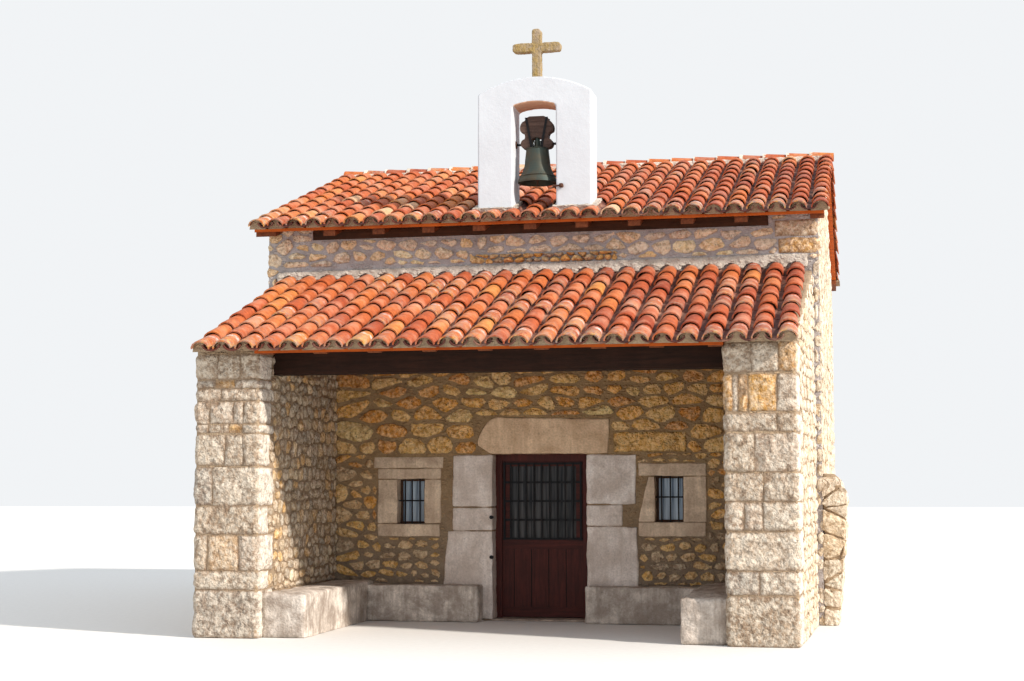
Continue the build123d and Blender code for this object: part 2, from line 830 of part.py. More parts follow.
def yoke_side(side):
    """One side of the headstock's outline, from its top down to the notch over the bell."""
    def point(x, z):
        return side * x, axle_z + z

    scallop = yoke_foot / 3
    top = point(yoke_top_half, yoke_top)
    ear = point(yoke_ear_half, yoke_ear_z)
    shoulder = point(yoke_ear_half + 1.5 * scallop, yoke_ear_z - 2 * scallop)
    horn_foot = point(yoke_horn_half - scallop / 3, yoke_chin_z + scallop)
    chin = point(yoke_chin_half, yoke_chin_z)
    lobe_top = point(yoke_chin_half - scallop / 2, yoke_foot)
    lobe_foot = point(yoke_waist_half, -yoke_foot)
    notch = point(yoke_notch_half, -yoke_foot)
    spring = point(yoke_notch_half, yoke_notch_spring)
    return [
        Line(top, ear),
        ThreePointArc(ear, point(yoke_ear_half + scallop / 3, yoke_ear_z - 1.5 * scallop), shoulder),
        ThreePointArc(shoulder, point(yoke_horn_half, yoke_horn_z), horn_foot),
        Line(horn_foot, chin),
        ThreePointArc(chin, point(yoke_waist_half, yoke_waist_z), lobe_top),
        ThreePointArc(lobe_top, point(yoke_lobe_half, 0), lobe_foot),
        Line(lobe_foot, notch),
        Line(notch, spring),
    ]


def make_yoke(bell, irons):
    """The scalloped headstock: a waisted board, arched over the bell's loops, with the axle in its lobes."""
    arch = ThreePointArc((yoke_notch_half, axle_z + yoke_notch_spring), (0, axle_z + yoke_notch_top),
                         (-yoke_notch_half, axle_z + yoke_notch_spring))
    head = Line((-yoke_top_half, axle_z + yoke_top), (yoke_top_half, axle_z + yoke_top))
    outline = Wire([*yoke_side(1), *yoke_side(-1), arch, head])
    half = yoke_thickness / 2
    return cut(run_back(make_face(outline), swing_y - half, swing_y + half), [bell, *irons])


def make_yoke_irons():
    """The axle on each side and four slanted straps that tie the headstock to the bell."""
    irons = []
    half = strap_width / 2
    z0 = axle_z - strap_foot_z
    z1 = axle_z + strap_top_z
    for side in (-1, 1):
        end = side * (arch_width / 2 + axle_bearing - axle_radius / 2)
        start = side * (yoke_lobe_half - axle_radius)
        irons.append(rod((start, swing_y, axle_z), (end, swing_y, axle_z), axle_radius))
        foot = side * strap_foot_x
        top = side * strap_top_x
        for face in (-1, 1):
            y0, y1 = sorted((swing_y + face * yoke_thickness / 2,
                             swing_y + face * (yoke_thickness / 2 + strap_thickness)))
            outline = [(foot - half, z0), (foot + half, z0), (top + half, z1), (top - half, z1)]
            irons.append(along_y(outline, y0, y1))
    return irons


def make_rope_hook():
    """A bent iron bar out of the right jamb, with a ball on its end in front of the gable."""
    x = arch_width / 2 - hook_radius * 2
    y = gable_thickness / 3
    hook = forged_bar((arch_width / 2, y, hook_z), (x - hook_radius, y, hook_z), hook_radius)
    hook += forged_bar((x, y, hook_z), (x, -hook_standoff - hook_radius, hook_z), hook_radius)
    hook += forged_bar((x, -hook_standoff, hook_z), (x + hook_reach, -hook_standoff, hook_z), hook_radius)
    return hook + forged_ball(x + hook_reach, -hook_standoff, hook_z, hook_ball)


# Roof timbers and roof layers

wall_plates = make_wall_plates()
main_rafters = make_main_rafters(wall_plates)
ridge_beam = make_ridge_beam()
porch_beam = make_porch_beam()
porch_rafters = make_porch_rafters(porch_beam)
timbers = [*main_rafters, *wall_plates, ridge_beam]

bearings = [bell_bearing(-1), bell_bearing(1)]
bell_gable = make_bell_gable([solid for solid, _ in bearings])
leg_inner = arch_width / 2
leg_outer = gable_width / 2
legs = [block(x0, x1, 0, gable_thickness, main_deck_z - 200, main_deck_z + 600)
        for x0, x1 in ((-leg_outer, -leg_inner), (leg_inner, leg_outer))]

save("bell_gable", [bell_gable])
save("cross", [make_cross()])
save("bell_bearings", [bored for _, bored in bearings])
save("rope_hook", [make_rope_hook()])

deck_front, deck_back = make_main_decks()
tiles_front, tiles_back = make_main_tiles()
ridge_tiles = make_ridge_tiles()
save("main_rafters", [*main_rafters, *make_eave_bearers()])
save("wall_plates", wall_plates)
save("ridge_beam", [ridge_beam])
save("main_deck_front", [cut(deck_front, legs)])
save("main_deck_back", [deck_back])
save("main_tiles_front", [cut(tiles_front, [*legs, ridge_tiles])])
save("main_tiles_back", [tiles_back - ridge_tiles])
save("ridge_tiles", [ridge_tiles])

save("porch_beam", [porch_beam])
save("porch_rafters", porch_rafters)
porch_tiles = make_porch_tiles()
save("porch_deck", [make_porch_deck()])
save("porch_tiles", [porch_tiles])
save("porch_flashing", [make_flashing(porch_tiles)])

# Dressed stones, benches and openings of the front wall

lintel = make_lintel()
left_jambs = make_jambs(door_left, -1, jamb_joints_left, [(590, 510), (450, 455), (455, 450)])
right_jambs = make_jambs(door_right, 1, jamb_joints_right, [(572, 560), (395, 392), (548, 552)])
left_window_stones = make_window_stones(
    left_window_x, left_window_z, left_window_jamb, left_window_jamb, left_window_right_jamb,
    left_window_lintel, left_window_sill)
right_window_stones = make_window_stones(
    right_window_x, right_window_z, right_window_jamb_foot, right_window_jamb_head,
    right_window_right_jamb, right_window_lintel, right_window_sill)
sill = block(door_left, door_right, -stone_proud, wall_thickness, 0, sill_thickness)
save("door_lintel", [lintel])
save("door_jambs_left", left_jambs)
save("door_jambs_right", right_jambs)
save("window_stones_left", left_window_stones)
save("window_stones_right", right_window_stones)
save("door_sill", [sill])

bench_left_end = -porch_inner + side_bench_depth
bench_right_end = porch_inner - side_bench_depth
save("bench_front_left", [block(bench_left_end, door_left - bench_gap_left, -bench_depth, -stone_proud, 0,
                                bench_height)])
save("bench_front_right", [block(door_right + bench_gap_right, bench_right_end, -bench_depth, -stone_proud, 0,
                                 bench_height)])
save("bench_side_left", [block(-porch_inner, bench_left_end, -side_bench_length, 0, 0, side_bench_height)])
save("bench_side_right", [block(bench_right_end, porch_inner, -side_bench_length, 0, 0, side_bench_height)])

# Walls


def front_wall(x0, x1, z0):
    """A stretch of the front wall up to the underside of the roof boards."""
    under = board_thickness * main_rise
    return along_x([(0, z0), (wall_thickness, z0), (wall_thickness, main_z(wall_thickness) - under),
                    (0, main_z(0) - under)], x0, x1)


def gable_wall(x0, x1):
    """A side wall between the front and back walls, running up under the ridge."""
    under = board_thickness * main_rise
    y0 = wall_thickness
    y1 = main_depth - wall_thickness
    return along_x([(y0, 0), (y1, 0), (y1, main_z(y1) - under), (ridge_y, main_z(ridge_y) - under),
                    (y0, main_z(y0) - under)], x0, x1)


window_holes = [window_box(x, z, 0, wall_thickness)
                for x, z in ((left_window_x, left_window_z), (right_window_x, right_window_z))]
plate_slot = make_plate_slot()
front_cuts = [plate_slot, *timbers, *porch_rafters, lintel]
save("wall_front_left", [cut(front_wall(-half_main, door_left, 0),
                             [*front_cuts, *left_jambs, *left_window_stones, window_holes[0]])])
save("wall_front_right", [cut(front_wall(door_right, half_main, 0),
                              [*front_cuts, *right_jambs, *right_window_stones, window_holes[1]])])
save("wall_over_door", [cut(front_wall(door_left, door_right, door_height), front_cuts)])
save("wall_left", [cut(gable_wall(-half_main, -half_main + wall_thickness), timbers)])
save("wall_right", [cut(gable_wall(half_main - wall_thickness, half_main), timbers)])
back_wall = front_wall(-half_main, half_main, 0).mirror(Plane.XZ.offset(-ridge_y))
save("wall_back", [cut(back_wall, [plate_slot.mirror(Plane.XZ.offset(-ridge_y)), *timbers])])
inner_x = half_main - wall_thickness
save("floor", [block(-inner_x, inner_x, wall_thickness, main_depth - wall_thickness, 0, sill_thickness)])


def porch_wall(x0, x1, splay=0):
    """A thick side wall of the porch, whose top carries the tiles. Its outer face may run out at the back."""
    side_view = [(-porch_depth, 0), (0, 0), (0, porch_z(0)), (-porch_depth, porch_z(-porch_depth))]
    plan = [(x0, -porch_depth), (x1, -porch_depth), (x1 + splay, 0), (x0, 0)]
    footprint = extrude(make_face(Polyline(*plan, close=True)), amount=porch_deck_z)
    return along_x(side_view, x0, x1 + splay) & footprint


save("porch_wall_left", [porch_wall(-half_porch, -porch_inner) - porch_beam])
save("porch_wall_right", [porch_wall(porch_inner, half_porch, porch_splay) - porch_beam])
buttress_outline = [
    (half_main, 0),
    (half_main + buttress_foot, 0),
    (half_main + buttress_belly, buttress_shoulder_z * 0.75),
    (half_main + buttress_belly, buttress_shoulder_z),
    (half_main + buttress_top, buttress_height),
    (half_main, buttress_height),
]
save("buttress", [along_y(buttress_outline, 0, buttress_length)])

# Windows and door

windows = ((left_window_x, left_window_z), (right_window_x, right_window_z))
save("window_frames", [make_window_frame(x, z) for x, z in windows])
save("window_glass", [make_window_glass(x, z) for x, z in windows])
fixed_hinges, leaf_hinges = make_hinges()
save("door_frame", [make_door_frame()])
save("door_leaf", [make_door_leaf()])
save("door_glass", [make_door_glass()])
save("door_grille", [make_grille()])
save("door_hinge_pins", fixed_hinges)
save("door_hinge_leaves", leaf_hinges)

# Bell

bell = make_bell()
save("bell", [bell])
yoke_irons = make_yoke_irons()
save("bell_yoke", [make_yoke(bell, yoke_irons)])
save("bell_yoke_irons", yoke_irons)
save("bell_clapper", [make_clapper()])

print("footprint centre", footprint_centre_x, footprint_centre_y)
print("door pin", pin_x - footprint_centre_x, pin_y - footprint_centre_y)
print("bell axle", -footprint_centre_x, swing_y - footprint_centre_y, axle_z, "clapper pin", clapper_z)
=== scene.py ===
# %% [markdown]
# # A small stone chapel with a porch and a bell gable
# The chapel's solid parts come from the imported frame: walls, timbers, door, bell. This lesson gives them
# their looks. It lays the stones and the tiles one by one, wears the edges, and builds a finish for
# every surface out of shader nodes.

# %% Load the frame
import math

import bpy
import numpy as np
from mathutils import Matrix, Vector, noise


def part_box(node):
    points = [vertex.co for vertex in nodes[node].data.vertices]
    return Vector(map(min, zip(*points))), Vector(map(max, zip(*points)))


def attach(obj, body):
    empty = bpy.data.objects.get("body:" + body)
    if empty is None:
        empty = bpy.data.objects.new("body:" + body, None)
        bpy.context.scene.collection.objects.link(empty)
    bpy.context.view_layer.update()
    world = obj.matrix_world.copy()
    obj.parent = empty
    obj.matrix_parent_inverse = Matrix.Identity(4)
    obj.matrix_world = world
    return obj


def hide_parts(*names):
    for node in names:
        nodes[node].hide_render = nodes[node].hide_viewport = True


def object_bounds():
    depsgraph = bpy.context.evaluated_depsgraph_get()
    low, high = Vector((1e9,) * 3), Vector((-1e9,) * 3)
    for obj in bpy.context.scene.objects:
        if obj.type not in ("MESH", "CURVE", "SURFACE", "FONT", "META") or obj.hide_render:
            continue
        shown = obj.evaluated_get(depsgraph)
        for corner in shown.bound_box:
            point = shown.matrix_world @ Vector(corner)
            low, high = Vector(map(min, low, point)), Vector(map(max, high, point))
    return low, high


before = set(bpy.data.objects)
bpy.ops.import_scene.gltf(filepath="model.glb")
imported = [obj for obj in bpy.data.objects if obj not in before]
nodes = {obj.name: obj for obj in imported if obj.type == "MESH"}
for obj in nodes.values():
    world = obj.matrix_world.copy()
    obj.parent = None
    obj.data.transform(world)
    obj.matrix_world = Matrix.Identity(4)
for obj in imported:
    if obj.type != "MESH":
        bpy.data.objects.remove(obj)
cad_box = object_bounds()
print("frame", len(nodes), "pieces", [round(v, 2) for v in (*cad_box[0], *cad_box[1])])

# %% [markdown]
# ## Camera, light and floor
# The camera stands low on the forecourt, a little to the right of the middle, and looks slightly up and to
# the left. The key light is low and far to the right, as in late afternoon, and is wide enough to give soft
# shadows. A pale sky fills the porch.

# %% Camera
camera_place = (3.5931, -20.9339, 1.5546)
camera_pan = 0.2054
camera_tilt = 0.0826
camera_roll = -0.0025
camera_lens = 59.71


def add_camera():
    data = bpy.data.cameras.new("camera")
    data.sensor_width = 36
    data.lens = camera_lens
    data.clip_end = 300
    camera = bpy.data.objects.new("camera", data)
    bpy.context.scene.collection.objects.link(camera)
    turn = Matrix.Rotation(camera_pan, 4, "Z") @ Matrix.Rotation(math.pi / 2 + camera_tilt, 4, "X")
    camera.matrix_world = Matrix.Translation(camera_place) @ turn @ Matrix.Rotation(camera_roll, 4, "Z")
    bpy.context.scene.camera = camera


add_camera()
bpy.context.scene.view_settings.view_transform = "Standard"

# %% [markdown]
# ## Helpers for node trees
# A material is a small network. Net has one short method for each kind of node, and Finish is a Net that
# starts a material around the Principled shader and ends it with a colour and a relief.

# %% Node helpers


def colour(red, green, blue):
    """A colour as it is seen on screen, turned to the linear light that nodes work in."""
    linear = [((c / 255 + 0.055) / 1.055) ** 2.4 if c > 10 else c / 3294.6 for c in (red, green, blue)]
    return (*linear, 1)


class Net:
    """A node tree, with a short method for each kind of node that is used here."""

    def __init__(self, tree):
        self.tree = tree

    def plug(self, socket, value):
        """Links a socket if the value is the output of a node, and sets it if the value is a constant."""
        if isinstance(value, bpy.types.NodeSocket):
            self.tree.links.new(value, socket)
        else:
            socket.default_value = value

    def node(self, kind, inputs=None, **settings):
        node = self.tree.nodes.new(kind)
        for key, value in settings.items():
            setattr(node, key, value)
        for key, value in (inputs or {}).items():
            self.plug(node.inputs[key], value)
        return node

    def ramp(self, factor, *stops):
        """A stop is a position with a grey value, with a linear colour, or with three screen values."""
        ramp = self.node("ShaderNodeValToRGB", {"Fac": factor})
        elements = ramp.color_ramp.elements
        while len(elements) < len(stops):
            elements.new(0.5)
        for element, (position, *shade) in zip(elements, stops):
            element.position = position
            if len(shade) == 3:
                element.color = colour(*shade)
            else:
                element.color = shade[0] if isinstance(shade[0], tuple) else (*shade * 3, 1)
        return ramp.outputs["Color"]

    def mix(self, factor, a, b, blend="MIX"):
        """Mixes two colours. Their sockets share a name with others, so they go by number."""
        node = self.node("ShaderNodeMix", {0: factor, 6: a, 7: b}, data_type="RGBA", blend_type=blend)
        return node.outputs[2]

    def darken(self, a, b, factor=1.0):
        return self.mix(factor, a, b, "MULTIPLY")

    def math(self, operation, a, b=0.0):
        return self.node("ShaderNodeMath", {0: a, 1: b}, operation=operation).outputs[0]

    def plus(self, a, b):
        return self.math("ADD", a, b)

    def times(self, first, *factors):
        for factor in factors:
            first = self.math("MULTIPLY", first, factor)
        return first

    def place(self, scale=(1, 1, 1)):
        """The place of a point in the object, stretched along the axes."""
        place = self.node("ShaderNodeTexCoord").outputs["Object"]
        return self.node("ShaderNodeMapping", {"Vector": place, "Scale": scale}).outputs["Vector"]

    def axis(self, vector, name):
        return self.node("ShaderNodeSeparateXYZ", {0: vector}).outputs[name]

    def noise(self, vector, scale, detail=5.0, roughness=0.6, distortion=0.0):
        values = {"Vector": vector, "Scale": scale, "Detail": detail, "Roughness": roughness,
                  "Distortion": distortion}
        return self.node("ShaderNodeTexNoise", values).outputs["Fac"]

    def patches(self, vector, scale, detail, roughness, *stops):
        """Noise sharpened by a ramp, for spots and pits."""
        return self.ramp(self.noise(vector, scale, detail, roughness), *stops)

    def attribute(self, name):
        return self.node("ShaderNodeAttribute", attribute_name=name).outputs["Fac"]

    def group(self, held, **values):
        """One of the shared effects. Returns its colour and its height."""
        inputs = {key.replace("_", " ").title(): value for key, value in values.items()}
        node = self.node("ShaderNodeGroup", node_tree=held)
        for key, value in inputs.items():
            self.plug(node.inputs[key], value)
        return node.outputs["Color"], node.outputs["Height"]


class Finish(Net):
    """A material: its nodes stand round the Principled shader."""

    def __init__(self, name, **values):
        self.material = bpy.data.materials.new(name)
        self.material.use_nodes = True
        super().__init__(self.material.node_tree)
        self.shader = self.tree.nodes["Principled BSDF"]
        for key, value in values.items():
            self.shader.inputs[key.replace("_", " ").title().replace("Ior", "IOR")].default_value = value

    def end(self, shade, relief=None, distance=0.0):
        """Links the colour, and the relief as a bump of that height in metres."""
        self.plug(self.shader.inputs["Base Color"], shade)
        if relief is not None:
            bump = self.node("ShaderNodeBump", {"Height": relief, "Distance": distance, "Strength": 1.0})
            self.plug(self.shader.inputs["Normal"], bump.outputs["Normal"])
        return self.material


# %% Light and floor
sun_direction = Vector((-1.0, 0.40, -0.62))
sun_strength = 5.0
sun_width = math.radians(3)
sun_colour = (1.0, 0.94, 0.87)
sky_strength = 1.05
sky_colour = (0.86, 0.92, 1.0, 1)
backdrop_colour = (0.93, 0.95, 0.97, 1)
backdrop_strength = 0.95
floor_size = 160
floor_drop = 0.002


def add_lights():
    sun = bpy.data.lights.new("key", "SUN")
    sun.energy = sun_strength
    sun.angle = sun_width
    sun.color = sun_colour
    lamp = bpy.data.objects.new("key", sun)
    lamp.rotation_mode = "QUATERNION"
    lamp.rotation_quaternion = sun_direction.to_track_quat("-Z", "Y")
    bpy.context.scene.collection.objects.link(lamp)
    world = bpy.data.worlds.new("studio")
    world.use_nodes = True
    net = Net(world.node_tree)
    fill = net.tree.nodes["Background"]
    fill.inputs["Color"].default_value = sky_colour
    fill.inputs["Strength"].default_value = sky_strength
    seen = net.node("ShaderNodeBackground", {"Color": backdrop_colour, "Strength": backdrop_strength})
    path = net.node("ShaderNodeLightPath")
    mixer = net.node("ShaderNodeMixShader", {
        0: path.outputs["Is Camera Ray"], 1: fill.outputs[0], 2: seen.outputs[0]})
    net.plug(net.tree.nodes["World Output"].inputs["Surface"], mixer.outputs[0])
    bpy.context.scene.world = world


def add_floor():
    bpy.ops.object.select_all(action="DESELECT")
    bpy.ops.mesh.primitive_plane_add(size=floor_size, location=(0, 0, cad_box[0].z - floor_drop))
    floor = bpy.context.object
    floor.name = "floor_sheet"
    paper = Finish("floor_paper", roughness=0.95)
    speckle = paper.patches(paper.place(), 14.0, 5.0, 0.6,
                            (0.3, (0.71, 0.685, 0.645, 1)), (0.7, (0.75, 0.73, 0.69, 1)))
    floor.data.materials.append(paper.end(speckle))


add_lights()
add_floor()
print("key light from the right, sky fill", sky_strength)

# %% [markdown]
# ## Shared effects as node groups
# Weather works the same way on stone, mortar and render: blotches of two tones, fine grain and patches of
# dirt. One group holds it, and each material gives it its own colours and sizes. A second group draws wood
# grain along one direction.

# %% Weather group
group_kinds = {"Vector": "Vector", "Base": "Color", "Blotch": "Color", "Dirt": "Color", "Light": "Color",
               "Dark": "Color"}


def new_group(name, *inputs):
    """Starts a group that gives a colour and a height. Inputs that aren't listed above are numbers."""
    group = bpy.data.node_groups.new(name, "ShaderNodeTree")
    for socket_name in inputs:
        kind = "NodeSocket" + group_kinds.get(socket_name, "Float")
        group.interface.new_socket(socket_name, in_out="INPUT", socket_type=kind)
    group.interface.new_socket("Color", in_out="OUTPUT", socket_type="NodeSocketColor")
    group.interface.new_socket("Height", in_out="OUTPUT", socket_type="NodeSocketFloat")
    start = group.nodes.new("NodeGroupInput")
    end = group.nodes.new("NodeGroupOutput")
    return Net(group), start.outputs, end.inputs


def make_weather_group():
    net, given, result = new_group("weather", "Vector", "Base", "Blotch", "Dirt", "Blotch Scale",
                                   "Grain Scale", "Dirt Amount")
    vector = given["Vector"]
    large = net.noise(vector, given["Blotch Scale"], 4.0, 0.62, 0.4)
    fine = net.noise(vector, given["Grain Scale"], 8.0, 0.7)
    blotched = net.mix(net.ramp(large, (0.38, 0.0), (0.62, 1.0)), given["Base"], given["Blotch"])
    shaded = net.darken(blotched, net.ramp(fine, (0.28, 0.35), (0.6, 1.0)), 0.55)
    dirty = net.patches(vector, 2.6, 6.0, 0.7, (0.48, 0.0), (0.72, 1.0))
    net.plug(result["Color"], net.mix(net.times(dirty, given["Dirt Amount"]), shaded, given["Dirt"]))
    soft = net.noise(vector, given["Grain Scale"], 2.0, 0.5)
    net.plug(result["Height"], net.plus(net.times(large, 0.5), soft))
    return net.tree


weather = make_weather_group()

# %% Grain group


def make_grain_group():
    net, given, result = new_group("grain", "Vector", "Light", "Dark")
    rings = net.noise(given["Vector"], 3.0, 3.0, 0.55, 0.8)
    fibres = net.noise(given["Vector"], 26.0, 8.0, 0.72)
    mask = net.ramp(net.plus(net.times(rings, 0.55), net.times(fibres, 0.5)), (0.36, 0.0), (0.66, 1.0))
    net.plug(result["Color"], net.mix(mask, given["Dark"], given["Light"]))
    net.plug(result["Height"], fibres)
    return net.tree


grain = make_grain_group()
grain_across = 9.0
grain_along = 0.7


def add_grain(net, along, light, dark):
    """Grain whose fibres run along an axis: the pattern is stretched that way."""
    scale = [grain_across] * 3
    scale["XYZ".index(along)] = grain_along
    return net.group(grain, vector=net.place(tuple(scale)), light=light, dark=dark)


print("node groups", [g.name for g in bpy.data.node_groups])

# %% [markdown]
# ## Stone, mortar and render
# The rubble is a mix: grey and beige field stones, ochre ones, and a few nearly orange. Every stone carries
# a random number called tone, and a colour ramp turns it into one of those colours. Rubble in the porch is
# deeper ochre, high on the front it is beige in grey mortar, and on the sunny side it is pale cream.

# %% Rubble and mortar


def make_rubble(name, stops, dirt, bump=0.012, pit_shade=0.5, glow=(1.0, 0.94, 0.8, 1)):
    """Broken field stone: its own tone, darker and lighter patches, pits darkened as painted shade, and a
    darker edge where it meets the joint, partly dirt and partly painted shade.
    """
    net = Finish(name, roughness=0.9)
    vector = net.place()
    dirt = colour(*dirt)
    own = net.ramp(net.attribute("tone"), *stops)
    # Where a block turns the corner on to its side that faces the sun, its colour is painted lighter and
    # warmer: painted sunlight.
    base = net.mix(net.attribute("pale"), own, net.mix(0.65, own, (1.0, 0.93, 0.82, 1)))
    darker = net.darken(base, (0.40, 0.31, 0.24, 1), 0.6)
    shade, _ = net.group(weather, vector=vector, base=base, blotch=darker, dirt=dirt, blotch_scale=9.0,
                         grain_scale=36.0, dirt_amount=0.4)
    light = net.patches(vector, 19.0, 6.0, 0.7, (0.42, 0.0), (0.6, 0.8))
    shade = net.mix(light, shade, net.mix(0.4, base, glow))
    # Dark pits: painted shade in the small hollows of the broken face.
    shade = net.darken(shade, net.patches(vector, 27.0, 7.0, 0.75, (0.34, 1.0 - pit_shade), (0.46, 1.0)))
    # Near the wall the stone is darkened towards the dirt colour: partly dirt, partly painted shade down in
    # the joint.
    joint = net.ramp(net.attribute("rim"), (0.15, 0.0), (0.9, 0.75))
    rough = net.noise(vector, 13.0, 3.0, 0.55)
    hollows = net.noise(vector, 30.0, 3.0, 0.55)
    return net.end(net.mix(joint, shade, dirt), net.plus(net.times(rough, 2.0), hollows), bump)


porch_rubble = make_rubble("porch_rubble", [
    (0.0, 186, 160, 134), (0.25, 232, 188, 134), (0.45, 248, 194, 108), (0.68, 250, 174, 70),
    (0.84, 232, 152, 62), (1.0, 255, 222, 148)], (80, 56, 34), 0.04, 0.7, (1.0, 0.86, 0.58, 1))
inner_rubble = make_rubble("inner_rubble", [
    (0.0, 164, 146, 124), (0.4, 208, 182, 150), (0.7, 184, 158, 122), (0.9, 236, 184, 108),
    (1.0, 236, 218, 184)], (116, 94, 70), 0.024)
upper_rubble = make_rubble("upper_rubble", [
    (0.0, 226, 198, 170), (0.3, 255, 224, 186), (0.55, 255, 208, 140), (0.78, 242, 208, 178),
    (1.0, 255, 228, 172)], (124, 108, 98), 0.034, 0.55)
side_rubble = make_rubble("side_rubble", [
    (0.0, 206, 186, 162), (0.35, 224, 208, 186), (0.6, 218, 190, 152), (0.8, 202, 184, 160),
    (1.0, 232, 220, 200)], (176, 146, 110), 0.018)
pier_stone = make_rubble("pier_stone", [
    (0.0, 162, 146, 130), (0.3, 192, 170, 148), (0.6, 178, 155, 130), (0.86, 204, 186, 165),
    (0.93, 200, 154, 98), (1.0, 208, 156, 82)], (122, 94, 68), 0.026, 0.62)

above_everything = 99


def make_mortar(name, low, high=None, change_height=above_everything, stony=0.5, inner_half=0):
    """Mortar with small stones in it. It can change colour at a height, as it does over the porch roof."""
    net = Finish(name, roughness=0.95)
    vector = net.place()
    low, high = colour(*low), colour(*(high or low))
    height = net.axis(vector, "Z")
    above = net.math("GREATER_THAN", height, change_height)
    if inner_half:
        outside = net.math("GREATER_THAN", net.math("ABSOLUTE", net.axis(vector, "X")), inner_half)
        above = net.math("MAXIMUM", above, outside)
        # Inside the porch the mortar turns greyer and darker towards the ground.
        greyer_near_ground = net.ramp(net.math("DIVIDE", height, change_height), (0.1, 0.75), (0.5, 0.0))
        low = net.mix(greyer_near_ground, low, colour(132, 118, 104))
    # For the wall mortar, the warm brown low colour under the porch roof and between the porch walls is
    # painted warm light bounced into the porch shade; above and outside the porch the mortar is grey.
    base = net.mix(above, low, high)
    shade, relief = net.group(weather, vector=vector, base=base,
                              blotch=net.darken(base, (0.42, 0.34, 0.27, 1), 0.45), dirt_amount=0.3,
                              dirt=colour(120, 106, 88), blotch_scale=5.0, grain_scale=60.0)
    drift = net.node("ShaderNodeTexNoise", {"Vector": vector, "Scale": 9.0}).outputs["Color"]
    shrunk = net.node("ShaderNodeVectorMath", {0: drift, "Scale": 0.09}, operation="SCALE").outputs[0]
    warped = net.node("ShaderNodeVectorMath", {0: net.place((1, 1, 1.7)), 1: shrunk}, operation="ADD")
    chips = net.node("ShaderNodeTexVoronoi", {"Vector": warped.outputs[0], "Scale": 15.0})
    chip_mask = net.ramp(chips.outputs["Distance"], (0.22, 1.0), (0.5, 0.0))
    lighter = net.mix(0.5, net.mix(0.5, base, (1.0, 0.86, 0.62, 1), "OVERLAY"), base)
    chosen = net.patches(vector, 4.0, 5.0, 0.6, (0.4, 0.0), (0.6, stony))
    shade = net.mix(net.times(chip_mask, chosen), shade, lighter)
    return net.end(shade, net.plus(relief, chip_mask), 0.01)


porch_roof_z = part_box("porch_deck")[1].z
# Its brown under the porch roof is painted warm bounce light of the porch shade.
wall_mortar = make_mortar("wall_mortar", (164, 134, 96), (186, 178, 176), porch_roof_z,
                          inner_half=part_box("porch_wall_right")[0].x + 0.3)
outer_mortar = make_mortar("outer_mortar", (198, 184, 168))
side_mortar = make_mortar("side_mortar", (218, 196, 166))
pier_mortar = make_mortar("pier_mortar", (172, 148, 120))
roof_mortar = make_mortar("roof_mortar", (190, 178, 160), (206, 194, 180), porch_roof_z, stony=0.2)
white_mortar = make_mortar("ridge_mortar", (226, 214, 198), stony=0.2)

# %% Dressed stone and render


def make_cut_stone(name, base, blotch, dirt, dirt_amount, bump=0.006, blotch_scale=3.2):
    """Cut stone: each one leans towards one of two colours, with stains, run-off and fine pits."""
    net = Finish(name, roughness=0.85)
    vector = net.place()
    base, blotch, dirt = colour(*base), colour(*blotch), colour(*dirt)
    shade, relief = net.group(weather, vector=vector, base=net.mix(net.attribute("tone"), base, blotch),
                              blotch=net.mix(0.7, blotch, dirt), dirt=dirt, blotch_scale=blotch_scale,
                              grain_scale=46.0, dirt_amount=dirt_amount)
    run_off = net.patches(net.place((9, 9, 0.8)), 2.2, 4.0, 0.6, (0.45, 0.0), (0.7, 1.0))
    streaked = net.mix(net.times(run_off, 0.6), shade, dirt)
    pits = net.patches(vector, 30.0, 6.0, 0.7, (0.3, 0.6), (0.4, 1.0))
    return net.end(net.darken(streaked, pits), relief, bump)


lintel_stone = make_cut_stone("lintel_stone", (252, 226, 196), (242, 210, 172), (190, 154, 120), 0.55,
                              0.008)
limestone = make_cut_stone("limestone", (250, 240, 230), (240, 226, 214), (190, 172, 158), 0.55, 0.008)
window_stone = make_cut_stone("window_stone", (244, 220, 190), (228, 204, 176), (172, 146, 122), 0.6, 0.008)
bench_stone = make_cut_stone("bench_stone", (246, 234, 220), (220, 206, 192), (138, 122, 108), 0.85,
                             0.01, 5.0)
sill_stone = make_cut_stone("sill_stone", (190, 168, 148), (168, 146, 128), (112, 98, 88), 0.5)
cross_stone = make_cut_stone("cross_stone", (166, 146, 122), (140, 126, 104), (158, 128, 62), 0.6,
                             0.01, 14.0)

gable_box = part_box("bell_gable")
gable_low, gable_high = gable_box
gable_x = (gable_box[0].x + gable_box[1].x) / 2
arch_half = 0.25
arch_z = 5.872
arch_fall = 0.68
arch_margin = 0.012
bounce_tint_depth = 0.08


